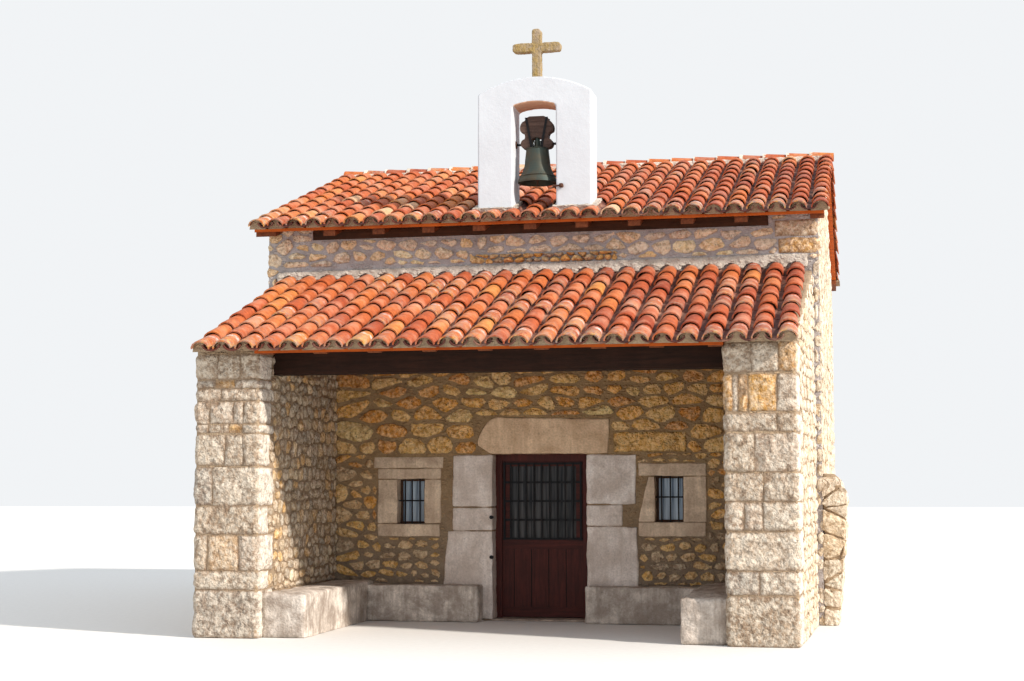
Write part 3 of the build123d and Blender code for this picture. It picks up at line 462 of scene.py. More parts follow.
def make_lime_render():
    """White lime with faint brushing. Up in the arch, its underside is painted tan: painted warm light
    bounced up from the tiles.
    """
    net = Finish("lime_render", roughness=0.8)
    vector = net.place()
    cloud = net.patches(vector, 3.0, 6.0, 0.6,
                        (0.35, (0.57, 0.585, 0.61, 1)), (0.6, (0.60, 0.62, 0.645, 1)))
    run_off = net.noise(net.place((12, 12, 0.7)), 2.0, 5.0, 0.6)
    streaks = net.times(net.ramp(run_off, (0.55, 0.0), (0.8, 1.0)), 0.35)
    shade = net.mix(streaks, cloud, colour(204, 204, 204))
    x, z = net.axis(vector, "X"), net.axis(vector, "Z")
    offset = net.math("ABSOLUTE", net.math("SUBTRACT", x, gable_x))
    fall = net.times(net.times(offset, offset), arch_fall)
    under = net.math("LESS_THAN", net.plus(z, fall), arch_z + arch_margin)
    between = net.math("LESS_THAN", offset, arch_half - arch_margin)
    above = net.math("GREATER_THAN", z, arch_z - bounce_tint_depth)
    inside = net.times(under, between, above)
    # Inside the arch the colour turns tan: painted bounce light from the tiles.
    return net.end(net.mix(inside, shade, colour(214, 172, 140)), net.noise(vector, 24.0, 6.0, 0.6), 0.003)


lime_render = make_lime_render()
print("stone finishes ready")

# %% [markdown]
# ## Fired clay
# Each tile carries its tone, its age, and where along its length a point lies. The colour goes from brick
# red to orange with a few pale ones. Old tiles have grey and yellow lichen towards the lower end, and a
# washed-out band where the next tile laps them.

# %% Tiles


def make_clay(name, *stops):
    net = Finish(name, roughness=0.8)
    vector = net.place()
    age, along = net.attribute("age"), net.attribute("along")
    base = net.ramp(net.attribute("tone"), *stops)
    shade, relief = net.group(weather, vector=vector, base=base,
                              blotch=net.darken(base, (0.46, 0.27, 0.20, 1), 0.5), dirt_amount=0.5,
                              dirt=colour(226, 172, 140), blotch_scale=13.0, grain_scale=60.0)
    patches = net.patches(vector, 17.0, 5.0, 0.7, (0.42, 0.0), (0.6, 1.0))
    low_end = net.ramp(along, (0.1, 1.0), (0.75, 0.0))
    grey = net.times(patches, low_end, net.ramp(age, (0.55, 0.0), (0.95, 0.85)))
    shade = net.mix(grey, shade, colour(150, 140, 128))
    spots = net.patches(vector, 30.0, 4.0, 0.65, (0.5, 0.0), (0.62, 1.0))
    yellow = net.times(spots, low_end, net.ramp(age, (0.7, 0.0), (1.0, 0.9)))
    shade = net.mix(yellow, shade, colour(210, 158, 74))
    lap = net.ramp(along, (0.52, 0.0), (0.58, 1.0), (0.66, 1.0), (0.74, 0.0))
    washed = net.times(lap, patches, net.ramp(age, (0.7, 0.0), (0.95, 1.0)))
    return net.end(net.mix(washed, shade, colour(214, 196, 186)), relief, 0.004)


fired_clay = make_clay("fired_clay", (0.0, 134, 54, 28), (0.22, 164, 70, 32), (0.45, 186, 88, 38),
                       (0.7, 202, 112, 48), (0.88, 214, 142, 68), (1.0, 228, 188, 146))
# Channel tiles: old dirty clay, painted darker still as painted shade where the covers shade them.
dark_clay = make_clay("dark_clay", (0.0, 62, 28, 21), (0.5, 86, 38, 26), (1.0, 118, 54, 34))

# %% [markdown]
# ## Wood, metal and glass
# Every timber has grain along its length. The eave boards are varnished orange, the beam is nearly black
# brown, the door is a red mahogany stain, and the bell's headstock is old and greyed.

# %% Wood


def make_wood(name, along, light, dark, roughness=0.6, bump=0.002, coat=0.0):
    net = Finish(name, roughness=roughness, coat_weight=coat, coat_roughness=0.35, specular_ior_level=0.2)
    shade, relief = add_grain(net, along, colour(*light), colour(*dark))
    wear = net.patches(net.place(), 4.0, 6.0, 0.7, (0.3, 0.62), (0.7, 1.0))
    return net.end(net.darken(shade, wear), relief, bump)


beam_wood = make_wood("beam_wood", "X", (58, 34, 22), (32, 19, 13), 0.75, 0.004)
plate_wood = make_wood("plate_wood", "X", (92, 56, 34), (56, 34, 22), 0.7, 0.004)
rafter_wood = make_wood("rafter_wood", "Y", (150, 84, 48), (96, 50, 28), 0.65, 0.003)
door_frame_wood = make_wood("door_frame_wood", "Z", (92, 36, 26), (58, 20, 15), 0.6, 0.001, 0.05)
window_wood = make_wood("window_wood", "Z", (92, 62, 42), (60, 38, 26))
yoke_wood = make_wood("yoke_wood", "X", (104, 82, 72), (62, 46, 40), 0.75, 0.004)
plank_width = 0.11


def make_board_wood():
    """Roof boards seen from below and at the eave edge: narrow planks that run along the eave."""
    net = Finish("board_wood", roughness=0.7, specular_ior_level=0.2)
    shade, relief = add_grain(net, "X", colour(206, 98, 28), colour(150, 62, 16))
    share = net.math("FRACT", net.math("DIVIDE", net.axis(net.place(), "Y"), plank_width))
    seam = net.ramp(share, (0.0, 0.25), (0.045, 1.0), (0.955, 1.0), (1.0, 0.25))
    return net.end(net.darken(shade, seam), net.plus(relief, seam), 0.004)


board_wood = make_board_wood()
leaf_low, leaf_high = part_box("door_leaf")
leaf_rails = [(leaf_low.z, 0.142), (0.79, leaf_high.z)]
groove_x = (leaf_low.x + leaf_high.x) / 2 - 0.034
groove_pitch = 0.199


def make_leaf_wood():
    """Door leaf: upright boards with grooves between them, painted dark as painted shade with a painted
    highlight along their edges, and the grain lying down in the rails.
    """
    net = Finish("leaf_wood", roughness=0.6, coat_weight=0.03, coat_roughness=0.4, specular_ior_level=0.2)
    light, dark = colour(86, 34, 25), colour(50, 18, 13)
    upright, upright_relief = add_grain(net, "Z", light, dark)
    lying, lying_relief = add_grain(net, "X", light, dark)
    place = net.place()
    height = net.axis(place, "Z")
    rails = [net.times(net.math("GREATER_THAN", height, low), net.math("LESS_THAN", height, high))
             for low, high in leaf_rails]
    in_rail = net.math("MAXIMUM", *rails)
    wear = net.patches(place, 5.0, 6.0, 0.7, (0.3, 0.7), (0.7, 1.0))
    across = net.math("SUBTRACT", net.axis(place, "X"), groove_x)
    share = net.math("FRACT", net.math("DIVIDE", across, groove_pitch))
    edge = net.math("ABSOLUTE", net.math("SUBTRACT", share, 0.5))
    # Each groove is painted dark, as painted shade, with a painted highlight just beside it on both sides.
    seam = net.ramp(edge, (0.0, 0.15), (0.03, 0.3), (0.035, 1.6), (0.06, 1.0))
    shade = net.darken(net.mix(in_rail, upright, lying), net.mix(in_rail, seam, (1, 1, 1, 1)))
    return net.end(net.darken(shade, wear), net.mix(in_rail, upright_relief, lying_relief), 0.0012)


leaf_wood = make_leaf_wood()

# %% Iron, bronze and glass


def make_metal(name, base, blotch, metallic, roughness, bump, scale=18.0):
    net = Finish(name, metallic=metallic)
    vector = net.place()
    patches = net.noise(vector, scale, 6.0, 0.65, 0.3)
    shade = net.mix(net.ramp(patches, (0.4, 0.0), (0.65, 1.0)), colour(*base), colour(*blotch))
    net.plug(net.shader.inputs["Roughness"],
             net.ramp(patches, (0.3, roughness), (0.7, min(1.0, roughness + 0.25))))
    return net.end(shade, net.noise(vector, scale * 6, 6.0, 0.7), bump)


black_iron = make_metal("black_iron", (14, 15, 20), (26, 23, 23), 0.4, 0.6, 0.0008)
rusty_iron = make_metal("rusty_iron", (74, 48, 38), (104, 66, 46), 0.3, 0.7, 0.0015, 30.0)
bell_bronze = make_metal("bell_bronze", (60, 70, 64), (84, 74, 58), 0.55, 0.45, 0.001, 5.0)


def make_glass(name, dark, light, roughness, coat):
    """Glass that shows no room behind it: upright streaks between two tones."""
    net = Finish(name, roughness=roughness, coat_weight=coat, specular_ior_level=coat)
    streaks = net.patches(net.place((26, 1, 1.2)), 1.0, 3.0, 0.5, (0.35, 0.0), (0.65, 1.0))
    return net.end(net.mix(streaks, colour(*dark), colour(*light)))


# The door glass is painted dark: painted shade of the unlit room behind it.
door_glass = make_glass("door_glass", (16, 17, 20), (78, 76, 75), 0.4, 0.12)
window_glass = make_glass("window_glass", (74, 92, 112), (166, 184, 200), 0.15, 0.5)
print("materials", len(bpy.data.materials))

# %% [markdown]
# ## Helpers for pieces
# New pieces start from a primitive or from a copy of a solid of the frame, are shaped with edit-mode
# operators, and end with their place in the mesh and the object at the origin. Nothing stays selected
# from one piece to the next.

# %% Piece helpers


def start_piece(add_primitive, name, **settings):
    bpy.ops.object.select_all(action="DESELECT")
    add_primitive(**settings)
    piece = bpy.context.object
    piece.name = name
    return piece


def pick(piece):
    bpy.ops.object.select_all(action="DESELECT")
    piece.select_set(True)
    bpy.context.view_layer.objects.active = piece


def settle(piece):
    pick(piece)
    bpy.ops.object.transform_apply(location=True, rotation=True, scale=True)


def add_object(name, mesh):
    piece = bpy.data.objects.new(name, mesh)
    bpy.context.scene.collection.objects.link(piece)
    return piece


def edit(piece, *steps):
    """Runs edit-mode operators on the whole piece, each given as (operator, settings)."""
    pick(piece)
    bpy.ops.object.mode_set(mode="EDIT")
    bpy.ops.mesh.select_all(action="SELECT")
    for operator, settings in steps:
        operator(**settings)
    bpy.ops.object.mode_set(mode="OBJECT")


def apply_modifier(piece, kind, **settings):
    pick(piece)
    modifier = piece.modifiers.new(kind.lower(), kind)
    for key, value in settings.items():
        setattr(modifier, key, value)
    bpy.ops.object.modifier_apply(modifier=modifier.name)


def mesh_points(piece):
    points = np.zeros(len(piece.data.vertices) * 3)
    piece.data.vertices.foreach_get("co", points)
    return points.reshape(-1, 3)


def set_points(piece, points):
    piece.data.vertices.foreach_set("co", np.asarray(points, dtype=np.float32).ravel())
    piece.data.update()


def roughen(piece, amount, size, seed=0.0, fine=0.35):
    """Moves every point along its normal by smooth noise, so that edges wander as worn edges do."""
    shift = Vector((seed, seed * 1.7, -seed))
    points = []
    for vertex in piece.data.vertices:
        place = vertex.co / size + shift
        step = noise.noise(place) + fine * noise.noise(place * 3.1)
        points.append(vertex.co + vertex.normal * (amount * step))
    set_points(piece, points)


def finish_piece(piece, material, body="chapel", replaces=(), smooth=None):
    piece.data.materials.clear()
    piece.data.materials.append(material)
    pick(piece)
    if smooth is not None:
        bpy.ops.object.shade_smooth_by_angle(angle=math.radians(smooth))
    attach(piece, body)
    if replaces:
        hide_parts(*replaces)
    triangles = sum(len(p.vertices) - 2 for p in piece.data.polygons)
    print(piece.name, triangles, "triangles")
    return piece


def join_pieces(parts, name):
    pick(parts[0])
    for part in parts:
        part.select_set(True)
    bpy.ops.object.join()
    bpy.context.object.name = name
    return bpy.context.object


def copy_of(node, name):
    """A copy of a solid of the frame with its doubled points merged, ready to be worn."""
    piece = add_object(name, nodes[node].data.copy())
    edit(piece, (bpy.ops.mesh.remove_doubles, {"threshold": 0.0001}),
         (bpy.ops.mesh.dissolve_limited, {"angle_limit": math.radians(1)}))
    return piece


def new_mesh_piece(name, points, faces):
    mesh = bpy.data.meshes.new(name)
    mesh.from_pydata([tuple(p) for p in points], [], faces)
    return add_object(name, mesh)


def set_value(piece, name, values, domain="POINT"):
    held = piece.data.attributes.new(name, "FLOAT", domain)
    held.data.foreach_set("value", np.asarray(values, dtype=np.float32))


arris_reach = 0.03


def bisect(piece, place, normal=(1, 0, 0)):
    edit(piece, (bpy.ops.mesh.bisect, {"plane_co": place, "plane_no": normal}))


def cut_at(piece, along):
    """Cuts a flat strip piece at a corner and beside it, so that it can bend there."""
    for side in (-arris_reach, 0.0, arris_reach):
        bisect(piece, (along + side, 0, 0))


def point_outwards(piece):
    edit(piece, (bpy.ops.mesh.normals_make_consistent, {"inside": False}))


# %% [markdown]
# ## A wall unrolled
# Stones turn the corners of a building: one stone shows a long side on the front and a short one on the
# flank. To get that, each wall is laid out flat, as a strip that runs round the building. The stones are
# shaped on the strip, where x is the way along the walls, y is the height and z stands out of the face,
# and then the strip is folded round the corners.

# %% Strip


class Strip:
    """Upright wall faces in a row, as seen from outside, left to right, with right-angled corners."""

    def __init__(self, corners, closed=False):
        self.starts = []
        self.faces = []
        along = 0.0
        for start, end in zip(corners[:-1], corners[1:]):
            start, end = Vector((*start, 0)), Vector((*end, 0))
            length = (end - start).length
            direction = (end - start) / length
            normal = direction.cross(Vector((0, 0, 1)))
            self.faces.append((along, along + length, start, direction, normal))
            along += length
        self.length = along
        self.closed = closed
        self.corners = [face[0] for face in self.faces[1:]]
        if closed:
            self.corners += [0.0, self.length]

    def face_of(self, along):
        if self.closed:
            along = along % self.length
        for index, face in enumerate(self.faces):
            if along <= face[1] + 1e-9:
                return index
        return len(self.faces) - 1

    def fold(self, points, home, rounding):
        """Puts strip points (along, height, out) on the building. A stone at home on one face bends round
        the corners at its two ends, and its arris there is worn off by the rounding."""
        low, high, start, direction, normal = self.faces[home]
        count = len(self.faces)
        result = []
        for along, height, out in points:
            if self.closed:
                middle = (low + high) / 2
                along = (along - middle + self.length / 2) % self.length - self.length / 2 + middle
            before = self.faces[(home - 1) % count]
            after = self.faces[(home + 1) % count]
            corner_left = home > 0 or self.closed
            corner_right = home < count - 1 or self.closed
            if along < low and corner_left:
                place = start - before[3] * (low - along)
                away = before[4]
            elif along > high and corner_right:
                place = start + direction * (high - low) + after[3] * (along - high)
                away = after[4]
            else:
                place = start + direction * (along - low)
                away = normal
            offset = away * out
            for at, other, real in ((low, before, corner_left), (high, after, corner_right)):
                if real and abs(along - at) < arris_reach:
                    share = 1 - abs(along - at) / arris_reach
                    partner = other[4] if away == normal else normal
                    offset = offset + partner * (out * share) - (away + partner) * (rounding * share)
            result.append(place + offset + Vector((0, 0, height)))
        return result


wall_box = {name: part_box(name) for name in ("wall_left", "wall_right", "wall_front_left", "wall_back")}
left_x = wall_box["wall_left"][0].x
right_x = wall_box["wall_right"][1].x
front_y = wall_box["wall_front_left"][0].y
back_y = wall_box["wall_back"][1].y
middle_x = (left_x + right_x) / 2
body_strip = Strip([(left_x, front_y), (right_x, front_y), (right_x, back_y), (left_x, back_y),
                    (left_x, front_y)], closed=True)
print("wall strip is", round(body_strip.length, 2), "m round")

# %% [markdown]
# ## Rubble
# The stones' outlines are cells around scattered points, set in rough courses. A cell is what is left of a
# square after it is cut halfway to each neighbour, and cutting a little nearer leaves the mortar joint.
# Stones of the frame, such as the lintel, push the cells back. The flat cells then become stones with
# Blender's own tools: extruded one by one, inset for a worn arris, and poked for a slight crown.

# %% Cells


def keep_side(polygon, point, normal):
    """The part of a convex outline that lies behind the line through point with that normal."""
    kept = []
    distances = [(p[0] - point[0]) * normal[0] + (p[1] - point[1]) * normal[1] for p in polygon]
    for i, p in enumerate(polygon):
        q = polygon[(i + 1) % len(polygon)]
        a, b = distances[i], distances[(i + 1) % len(polygon)]
        if a <= 0:
            kept.append(p)
        if (a < 0 < b) or (b < 0 < a):
            share = a / (a - b)
            kept.append((p[0] + (q[0] - p[0]) * share, p[1] + (q[1] - p[1]) * share))
    return kept


def area(polygon):
    return 0.5 * sum(p[0] * q[1] - q[0] * p[1] for p, q in zip(polygon, polygon[1:] + polygon[:1]))


def is_stone(polygon, smallest=0.002):
    """True for an outline that is large enough and not a sliver."""
    if len(polygon) < 3 or area(polygon) < smallest:
        return False
    rim = sum(math.hypot(q[0] - p[0], q[1] - p[1]) for p, q in zip(polygon, polygon[1:] + polygon[:1]))
    return area(polygon) / rim ** 2 > 0.022


def middle(polygon):
    return (sum(p[0] for p in polygon) / len(polygon), sum(p[1] for p in polygon) / len(polygon))


def push_back(cell, obstacle, joint):
    """Cuts a cell along the edge of a convex obstacle that costs it least."""
    best = cell
    best_area = -1.0
    for p, q in zip(obstacle, obstacle[1:] + obstacle[:1]):
        length = math.hypot(q[0] - p[0], q[1] - p[1])
        normal = ((q[1] - p[1]) / length, (p[0] - q[0]) / length)
        outside = (-normal[0], -normal[1])
        line = (p[0] + normal[0] * joint, p[1] + normal[1] * joint)
        part = keep_side(cell, line, outside)
        if len(part) > 2 and area(part) > best_area:
            best, best_area = part, area(part)
    return best if best_area > 0 else []


def rectangle(x0, x1, z0, z1):
    return [(x0, z0), (x1, z0), (x1, z1), (x0, z1)]


def touches(cell, obstacle):
    """True if two convex outlines overlap, by looking for an edge that parts them."""
    for shape, other in ((cell, obstacle), (obstacle, cell)):
        for p, q in zip(shape, shape[1:] + shape[:1]):
            normal = (q[1] - p[1], p[0] - q[0])
            if all((r[0] - p[0]) * normal[0] + (r[1] - p[1]) * normal[1] >= -1e-9 for r in other):
                return False
    return True


reach_across_seam = 2
neighbours = 15


def lay_cells(length, bottom, top, width, height, joint, random, closed=False, obstacles=(), stretch=1.4):
    """Scatters points in rough courses over a strip and returns the outlines of the stones round them."""
    seeds = []
    level = bottom
    while level < top:
        course = height * random.uniform(0.75, 1.35)
        along = random.uniform(0, width)
        while along < length:
            step = width * random.uniform(0.5, 1.5)
            seeds.append((along + step / 2 * random.uniform(0.8, 1.2),
                          level + course * random.uniform(0.22, 0.78)))
            along += step
        level += course
    field = list(seeds)
    if closed:
        field += [(x + length, z) for x, z in seeds if x < reach_across_seam]
        field += [(x - length, z) for x, z in seeds if x > length - reach_across_seam]
    spread = np.array(field)
    cells = []
    for x, z in seeds:
        gap = joint * random.uniform(0.5, 1.7) / 2
        cell = rectangle(x - width * 1.5, x + width * 1.5,
                         max(z - height * 1.5, bottom), min(z + height * 1.5, top))
        if not closed:
            cell = keep_side(keep_side(cell, (0, z), (-1, 0)), (length, z), (1, 0))
        offsets = spread - (x, z)
        distances = np.hypot(offsets[:, 0], offsets[:, 1] * stretch)
        for index in np.argsort(distances)[1:neighbours]:
            dx, dz = offsets[index]
            reach = math.hypot(dx, dz * stretch ** 2)
            normal = (dx / reach, dz * stretch ** 2 / reach)
            point = (x + dx / 2 - normal[0] * gap, z + dz / 2 - normal[1] * gap)
            cell = keep_side(cell, point, normal)
            if len(cell) < 3:
                break
        for obstacle in obstacles:
            if len(cell) > 2 and touches(cell, obstacle):
                cell = push_back(cell, obstacle, joint * 0.6)
        if is_stone(cell, width * height * 0.12):
            cells.append(cell)
    return cells


def rough_outline(cell, random, corner=0.024, spacing=0.04, wander=0.005):
    """Knocks the corners off a cell and sets points along its sides a little out of line."""
    cut_cell = []
    for p, q in zip(cell, cell[1:] + cell[:1]):
        length = math.hypot(q[0] - p[0], q[1] - p[1])
        if length < 0.012:
            continue
        share = min(0.42, corner * random.uniform(0.5, 1.5) / length)
        count = max(1, round(length * (1 - 2 * share) / spacing))
        for i in range(count + 1):
            part = share + (1 - 2 * share) * i / count
            cut_cell.append((p[0] + (q[0] - p[0]) * part + random.uniform(-wander, wander),
                             p[1] + (q[1] - p[1]) * part + random.uniform(-wander, wander)))
    return cut_cell


# %% Stones from cells


stone_rounding = 0.006
stone_base = -0.004


def shape_stones(name, cells, strip, home, material, random, proud=0.014, arris=0.012, crown=0.008,
                 broken=0.005, corner=0.024, tint=None, rolling=True):
    """Turns flat cells into closed stones with broken faces and folds them on to their wall."""
    points = []
    faces = []
    tone = []
    for cell in cells:
        outline = rough_outline(cell, random, corner)
        if len(outline) < 5:
            continue
        low, high = tint(middle(cell)[1]) if tint else (0, 1)
        tone.append(random.uniform(low, high))
        faces.append(list(range(len(points), len(points) + len(outline))))
        points += [(x, z, 0.0) for x, z in outline]
    piece = new_mesh_piece(name, points, faces)
    numbers = piece.data.attributes.new("stone", "FLOAT", "FACE")
    numbers.data.foreach_set("value", np.arange(len(faces), dtype=np.float32))
    edit(piece,
         (bpy.ops.mesh.normals_make_consistent, {"inside": False}),
         (bpy.ops.mesh.duplicate, {}),
         (bpy.ops.mesh.extrude_faces_move, {"TRANSFORM_OT_shrink_fatten": {"value": proud * 0.5}}),
         (bpy.ops.mesh.inset, {"use_individual": True, "use_even_offset": False, "thickness": arris,
                               "depth": proud * 0.5}),
         (bpy.ops.mesh.poke, {"offset": crown}))
    if rolling:
        edit(piece, (bpy.ops.mesh.subdivide, {"number_cuts": 1}))
    lows = [min(p[0] for p in cell) for cell in cells]
    highs = [max(p[0] for p in cell) for cell in cells]
    for corner_x in strip.corners:
        if min(lows) < corner_x < max(highs):
            cut_at(piece, corner_x)
    flip_bases(piece)
    edit(piece, (bpy.ops.mesh.remove_doubles, {"threshold": 0.00002}))
    stone_numbers = np.zeros(len(piece.data.polygons))
    piece.data.attributes["stone"].data.foreach_get("value", stone_numbers)
    own = np.zeros(len(piece.data.vertices), dtype=int)
    for polygon, number in zip(piece.data.polygons, stone_numbers):
        for vertex in polygon.vertices:
            own[vertex] = round(number)
    count = len(faces)
    tone = np.array(tone)
    lift = np.array([random.uniform(0.35, 1.45) for _ in range(count)])
    tilt = np.array([random.uniform(-0.08, 0.08) for _ in range(count)])
    slant = np.array([random.uniform(-0.06, 0.06) for _ in range(count)])
    flat = mesh_points(piece)
    centre_x = np.array([np.mean([points[i][0] for i in face]) for face in faces])
    centre_z = np.array([np.mean([points[i][1] for i in face]) for face in faces])
    raised = flat[:, 2] > proud * 0.3
    # rim is 1 where a stone meets the wall and 0 on its face; the finish darkens it there as dirt and
    # painted shade.
    rim = 1 - np.clip(flat[:, 2] / proud, 0, 1)
    lumps = np.array([noise.noise(Vector((p[0] * 26, p[1] * 26, own[i] * 3.7))) +
                      0.6 * noise.noise(Vector((p[0] * 61, p[1] * 61, own[i] * 1.9)))
                      for i, p in enumerate(flat)])
    flat[:, 2] = flat[:, 2] * lift[own]
    flat[raised, 2] += ((flat[raised, 1] - centre_z[own[raised]]) * tilt[own[raised]]
                        + (flat[raised, 0] - centre_x[own[raised]]) * slant[own[raised]]
                        + broken * lumps[raised])
    flat[~raised, 2] = stone_base
    flat[raised, 2] = np.maximum(flat[raised, 2], 0.001)
    flat[:, 1] = np.maximum(flat[:, 1], 0)
    set_points(piece, strip.fold(flat, home, stone_rounding))
    set_value(piece, "tone", tone[own])
    set_value(piece, "rim", rim)
    piece.data.attributes.remove(piece.data.attributes["stone"])
    return finish_piece(piece, material, smooth=30)


def flip_bases(piece):
    """Turns the faces that lie on the wall outwards, which closes each stone at its back."""
    pick(piece)
    for polygon in piece.data.polygons:
        polygon.select = all(piece.data.vertices[v].co.z < 1e-5 for v in polygon.vertices)
    bpy.ops.object.mode_set(mode="EDIT")
    bpy.ops.mesh.flip_normals()
    bpy.ops.object.mode_set(mode="OBJECT")


class Dice:
    """Repeatable random numbers."""

    def __init__(self, seed):
        self.source = np.random.default_rng(seed)

    def uniform(self, low, high):
        return float(self.source.uniform(low, high))


# %% [markdown]
# ## The rubble of the main walls
# On the front, the porch walls, benches, dressed stones and the roof's joint are in the way, and the stones
# stop at them. The side walls end under the slopes of the roof.

# %% Main walls


def node_rectangle(name, origin_x, grow=0.0):
    low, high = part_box(name)
    return rectangle(low.x - origin_x - grow, high.x - origin_x + grow, low.z - grow, high.z + grow)


def body_obstacles():
    held = [node_rectangle(name, left_x) for name in (
        "porch_wall_left", "porch_wall_right", "bench_front_left", "bench_front_right", "bench_side_left",
        "bench_side_right", "door_lintel", "window_stones_left", "window_stones_right")]
    for side in ("left", "right"):
        low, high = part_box(f"door_jambs_{side}")
        held.append(rectangle(low.x - left_x, high.x - left_x, low.z, high.z))
    door_low, door_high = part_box("door_frame")
    held.append(rectangle(door_low.x - left_x, door_high.x - left_x, 0, door_high.z + 0.05))
    low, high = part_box("porch_flashing")
    held.append(rectangle(low.x - left_x, high.x - left_x, porch_roof_z - 0.04, high.z - 0.01))
    low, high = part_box("wall_plates")
    held.append(rectangle(low.x - left_x, high.x - left_x, low.z, high.z + 0.2))
    behind = front_width + side_depth + right_x
    held.append(rectangle(behind - high.x, behind - low.x, low.z, high.z + 0.2))
    return held + big_stones + [chip_band]


main_pitch = math.radians(18.2)
porch_pitch = math.radians(20.0)
roof_slope = math.tan(main_pitch)
eave_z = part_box("main_deck_front")[0].z + roof_slope * (front_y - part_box("main_deck_front")[0].y)
front_width = right_x - left_x
side_depth = back_y - front_y
middle_place = middle_x - left_x
chip_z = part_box("porch_flashing")[1].z - 0.012
chip_band = rectangle(middle_place - 0.75, middle_place + 0.95, chip_z, chip_z + 0.1)
big_stones = [rectangle(middle_place - 1.87, middle_place - 1.06, 1.706, 1.828),
              rectangle(middle_place + 2.74, front_width + 0.22, 4.045, 4.21),
              rectangle(middle_place + 2.70, front_width + 0.16, 4.23, 4.41),
              rectangle(middle_place + 0.89, middle_place + 1.70, 1.875, 2.096)]


def porch_tint(height):
    """Under the porch the stones are ochre high up and greyer near the ground."""
    if height > 1.9:
        return 0.4, 1.0
    return (0.1, 1.0) if height > 1.0 else (0.0, 0.5)


def under_roof(cell):
    """Cuts a cell of a side wall along the two slopes of the roof, and any other at the eave."""
    x = middle(cell)[0]
    for start in (front_width, 2 * front_width + side_depth):
        if start < x < start + side_depth:
            for foot, lean in ((start, -1), (start + side_depth, 1)):
                cell = keep_side(cell, (foot, eave_z - 0.01), (lean * roof_slope, 1.0))
                if len(cell) < 3:
                    return []
            return cell
    return keep_side(cell, (0, eave_z - 0.01), (0, 1))


def lay_main_walls():
    dice = Dice(11)
    gable_z = eave_z + roof_slope * side_depth / 2
    porch_top = porch_roof_z - 0.05
    inner_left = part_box("porch_wall_left")[1].x - left_x
    inner_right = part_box("porch_wall_right")[0].x - left_x
    held_off = body_obstacles()
    around = [*held_off, rectangle(inner_left, inner_right, 0, porch_top)]
    cells = lay_cells(body_strip.length, 0.0, gable_z, 0.25, 0.145, 0.028, dice, True, around)
    shifted = [[(x - inner_left, z) for x, z in outline] for outline in held_off[2:]]
    inner_width = inner_right - inner_left
    small = lay_cells(inner_width, 0.0, 1.86, 0.18, 0.1, 0.03, dice, False, shifted, 1.5)
    small += lay_cells(inner_width, 1.87, porch_top, 0.33, 0.15, 0.03, dice, False, shifted, 1.7)
    cells += [[(x + inner_left, z) for x, z in cell] for cell in small]
    groups = {}
    for cell in map(under_roof, cells):
        if not is_stone(cell):
            continue
        x, z = middle(cell)
        home = body_strip.face_of(x)
        part = ("front_high", "right", "back", "left")[home]
        if home == 0 and z < porch_top:
            part = "front_corner" if x > inner_right else "front_low"
        groups.setdefault((part, home), []).append(cell)
    looks = {"front_high": upper_rubble, "front_low": porch_rubble, "front_corner": side_rubble,
             "right": side_rubble, "back": upper_rubble, "left": upper_rubble}
    shapes = {"front_high": (0.016, 0.02, 0.01, 0.006, 0.04),
              "front_low": (0.014, 0.015, 0.012, 0.009, 0.042)}
    for (part, home), held in groups.items():
        proud, arris, crown, broken, corner = shapes.get(part, (0.011, 0.012, 0.007, 0.005, 0.03))
        shape_stones(f"rubble_{part}", held, body_strip, home, looks[part], dice, proud, arris, crown,
                     broken=broken, corner=corner, tint=porch_tint if part == "front_low" else None,
                     rolling=part not in ("left", "back"))
    chips = lay_cells(chip_band[1][0] - chip_band[0][0], chip_z, chip_z + 0.1, 0.12, 0.055, 0.006, dice)
    chips = [[(x + chip_band[0][0], z) for x, z in cell] for cell in chips]
    # These stones take the bright warm porch rubble: painted sunlight on them under the eave.
    shape_stones("joint_stones", chips, body_strip, 0, porch_rubble, dice, 0.045, 0.016, 0.006, corner=0.02)


lay_main_walls()

# %% [markdown]
# ## The porch walls
# Each porch wall ends in a pier of big worn blocks. The blocks' courses follow the real ones: their beds
# are listed from the ground up, with where the upright joints fall. Behind the blocks, the wall is small
# rubble again.

# %% Pier courses
left_courses = [
    (0.0, 0.47, [], 0.30), (0.48, 0.66, [], 0.42), (0.67, 1.02, [0.2, 0.7], 0.28), (1.03, 1.31, [], 0.45),
    (1.32, 1.70, [0.27], 0.30), (1.72, 2.03, [0.47, 0.76], 0.42), (2.045, 2.13, [0.2, 0.52, 0.74], 0.30),
    (2.14, 2.36, [0.22, 0.6, 0.75], 0.38), (2.37, 2.49, [0.4], 0.30), (2.50, 2.58, [0.3, 0.62], 0.40),
    (2.59, 2.84, [0.34, 0.7], 0.36)]
right_courses = [
    (0.0, 0.47, [], 0.30), (0.48, 0.70, [0.46], 0.42), (0.71, 1.07, [], 0.30),
    (1.085, 1.35, [0.25, 0.52], 0.40), (1.36, 1.625, [0.53], 0.30), (1.64, 2.0, [0.41], 0.44),
    (2.02, 2.19, [0.73], 0.30),
    (2.21, 2.56, [0.11, 0.19, 0.33, 0.73], 0.38), (2.58, 2.86, [0.38, 0.76], 0.30)]
ochre_blocks = {"left": {3: 0.9, 13: 1.0, 22: 0.94}, "right": {13: 0.95, 15: 0.94, 16: 1.0, 20: 0.93}}
pier_joint = 0.006
both_wraps = 0.72


def pier_cells(courses, start, width):
    """Outlines of the blocks on a strip: the end blocks run on round both corners."""
    outlines = []
    for low, high, splits, wrap in courses:
        other = both_wraps - wrap
        edges = [start - wrap, *[start + width * s for s in splits], start + width + other]
        for left, right in zip(edges[:-1], edges[1:]):
            outlines.append(rectangle(left + pier_joint / 2, right - pier_joint / 2, low, high))
    return outlines


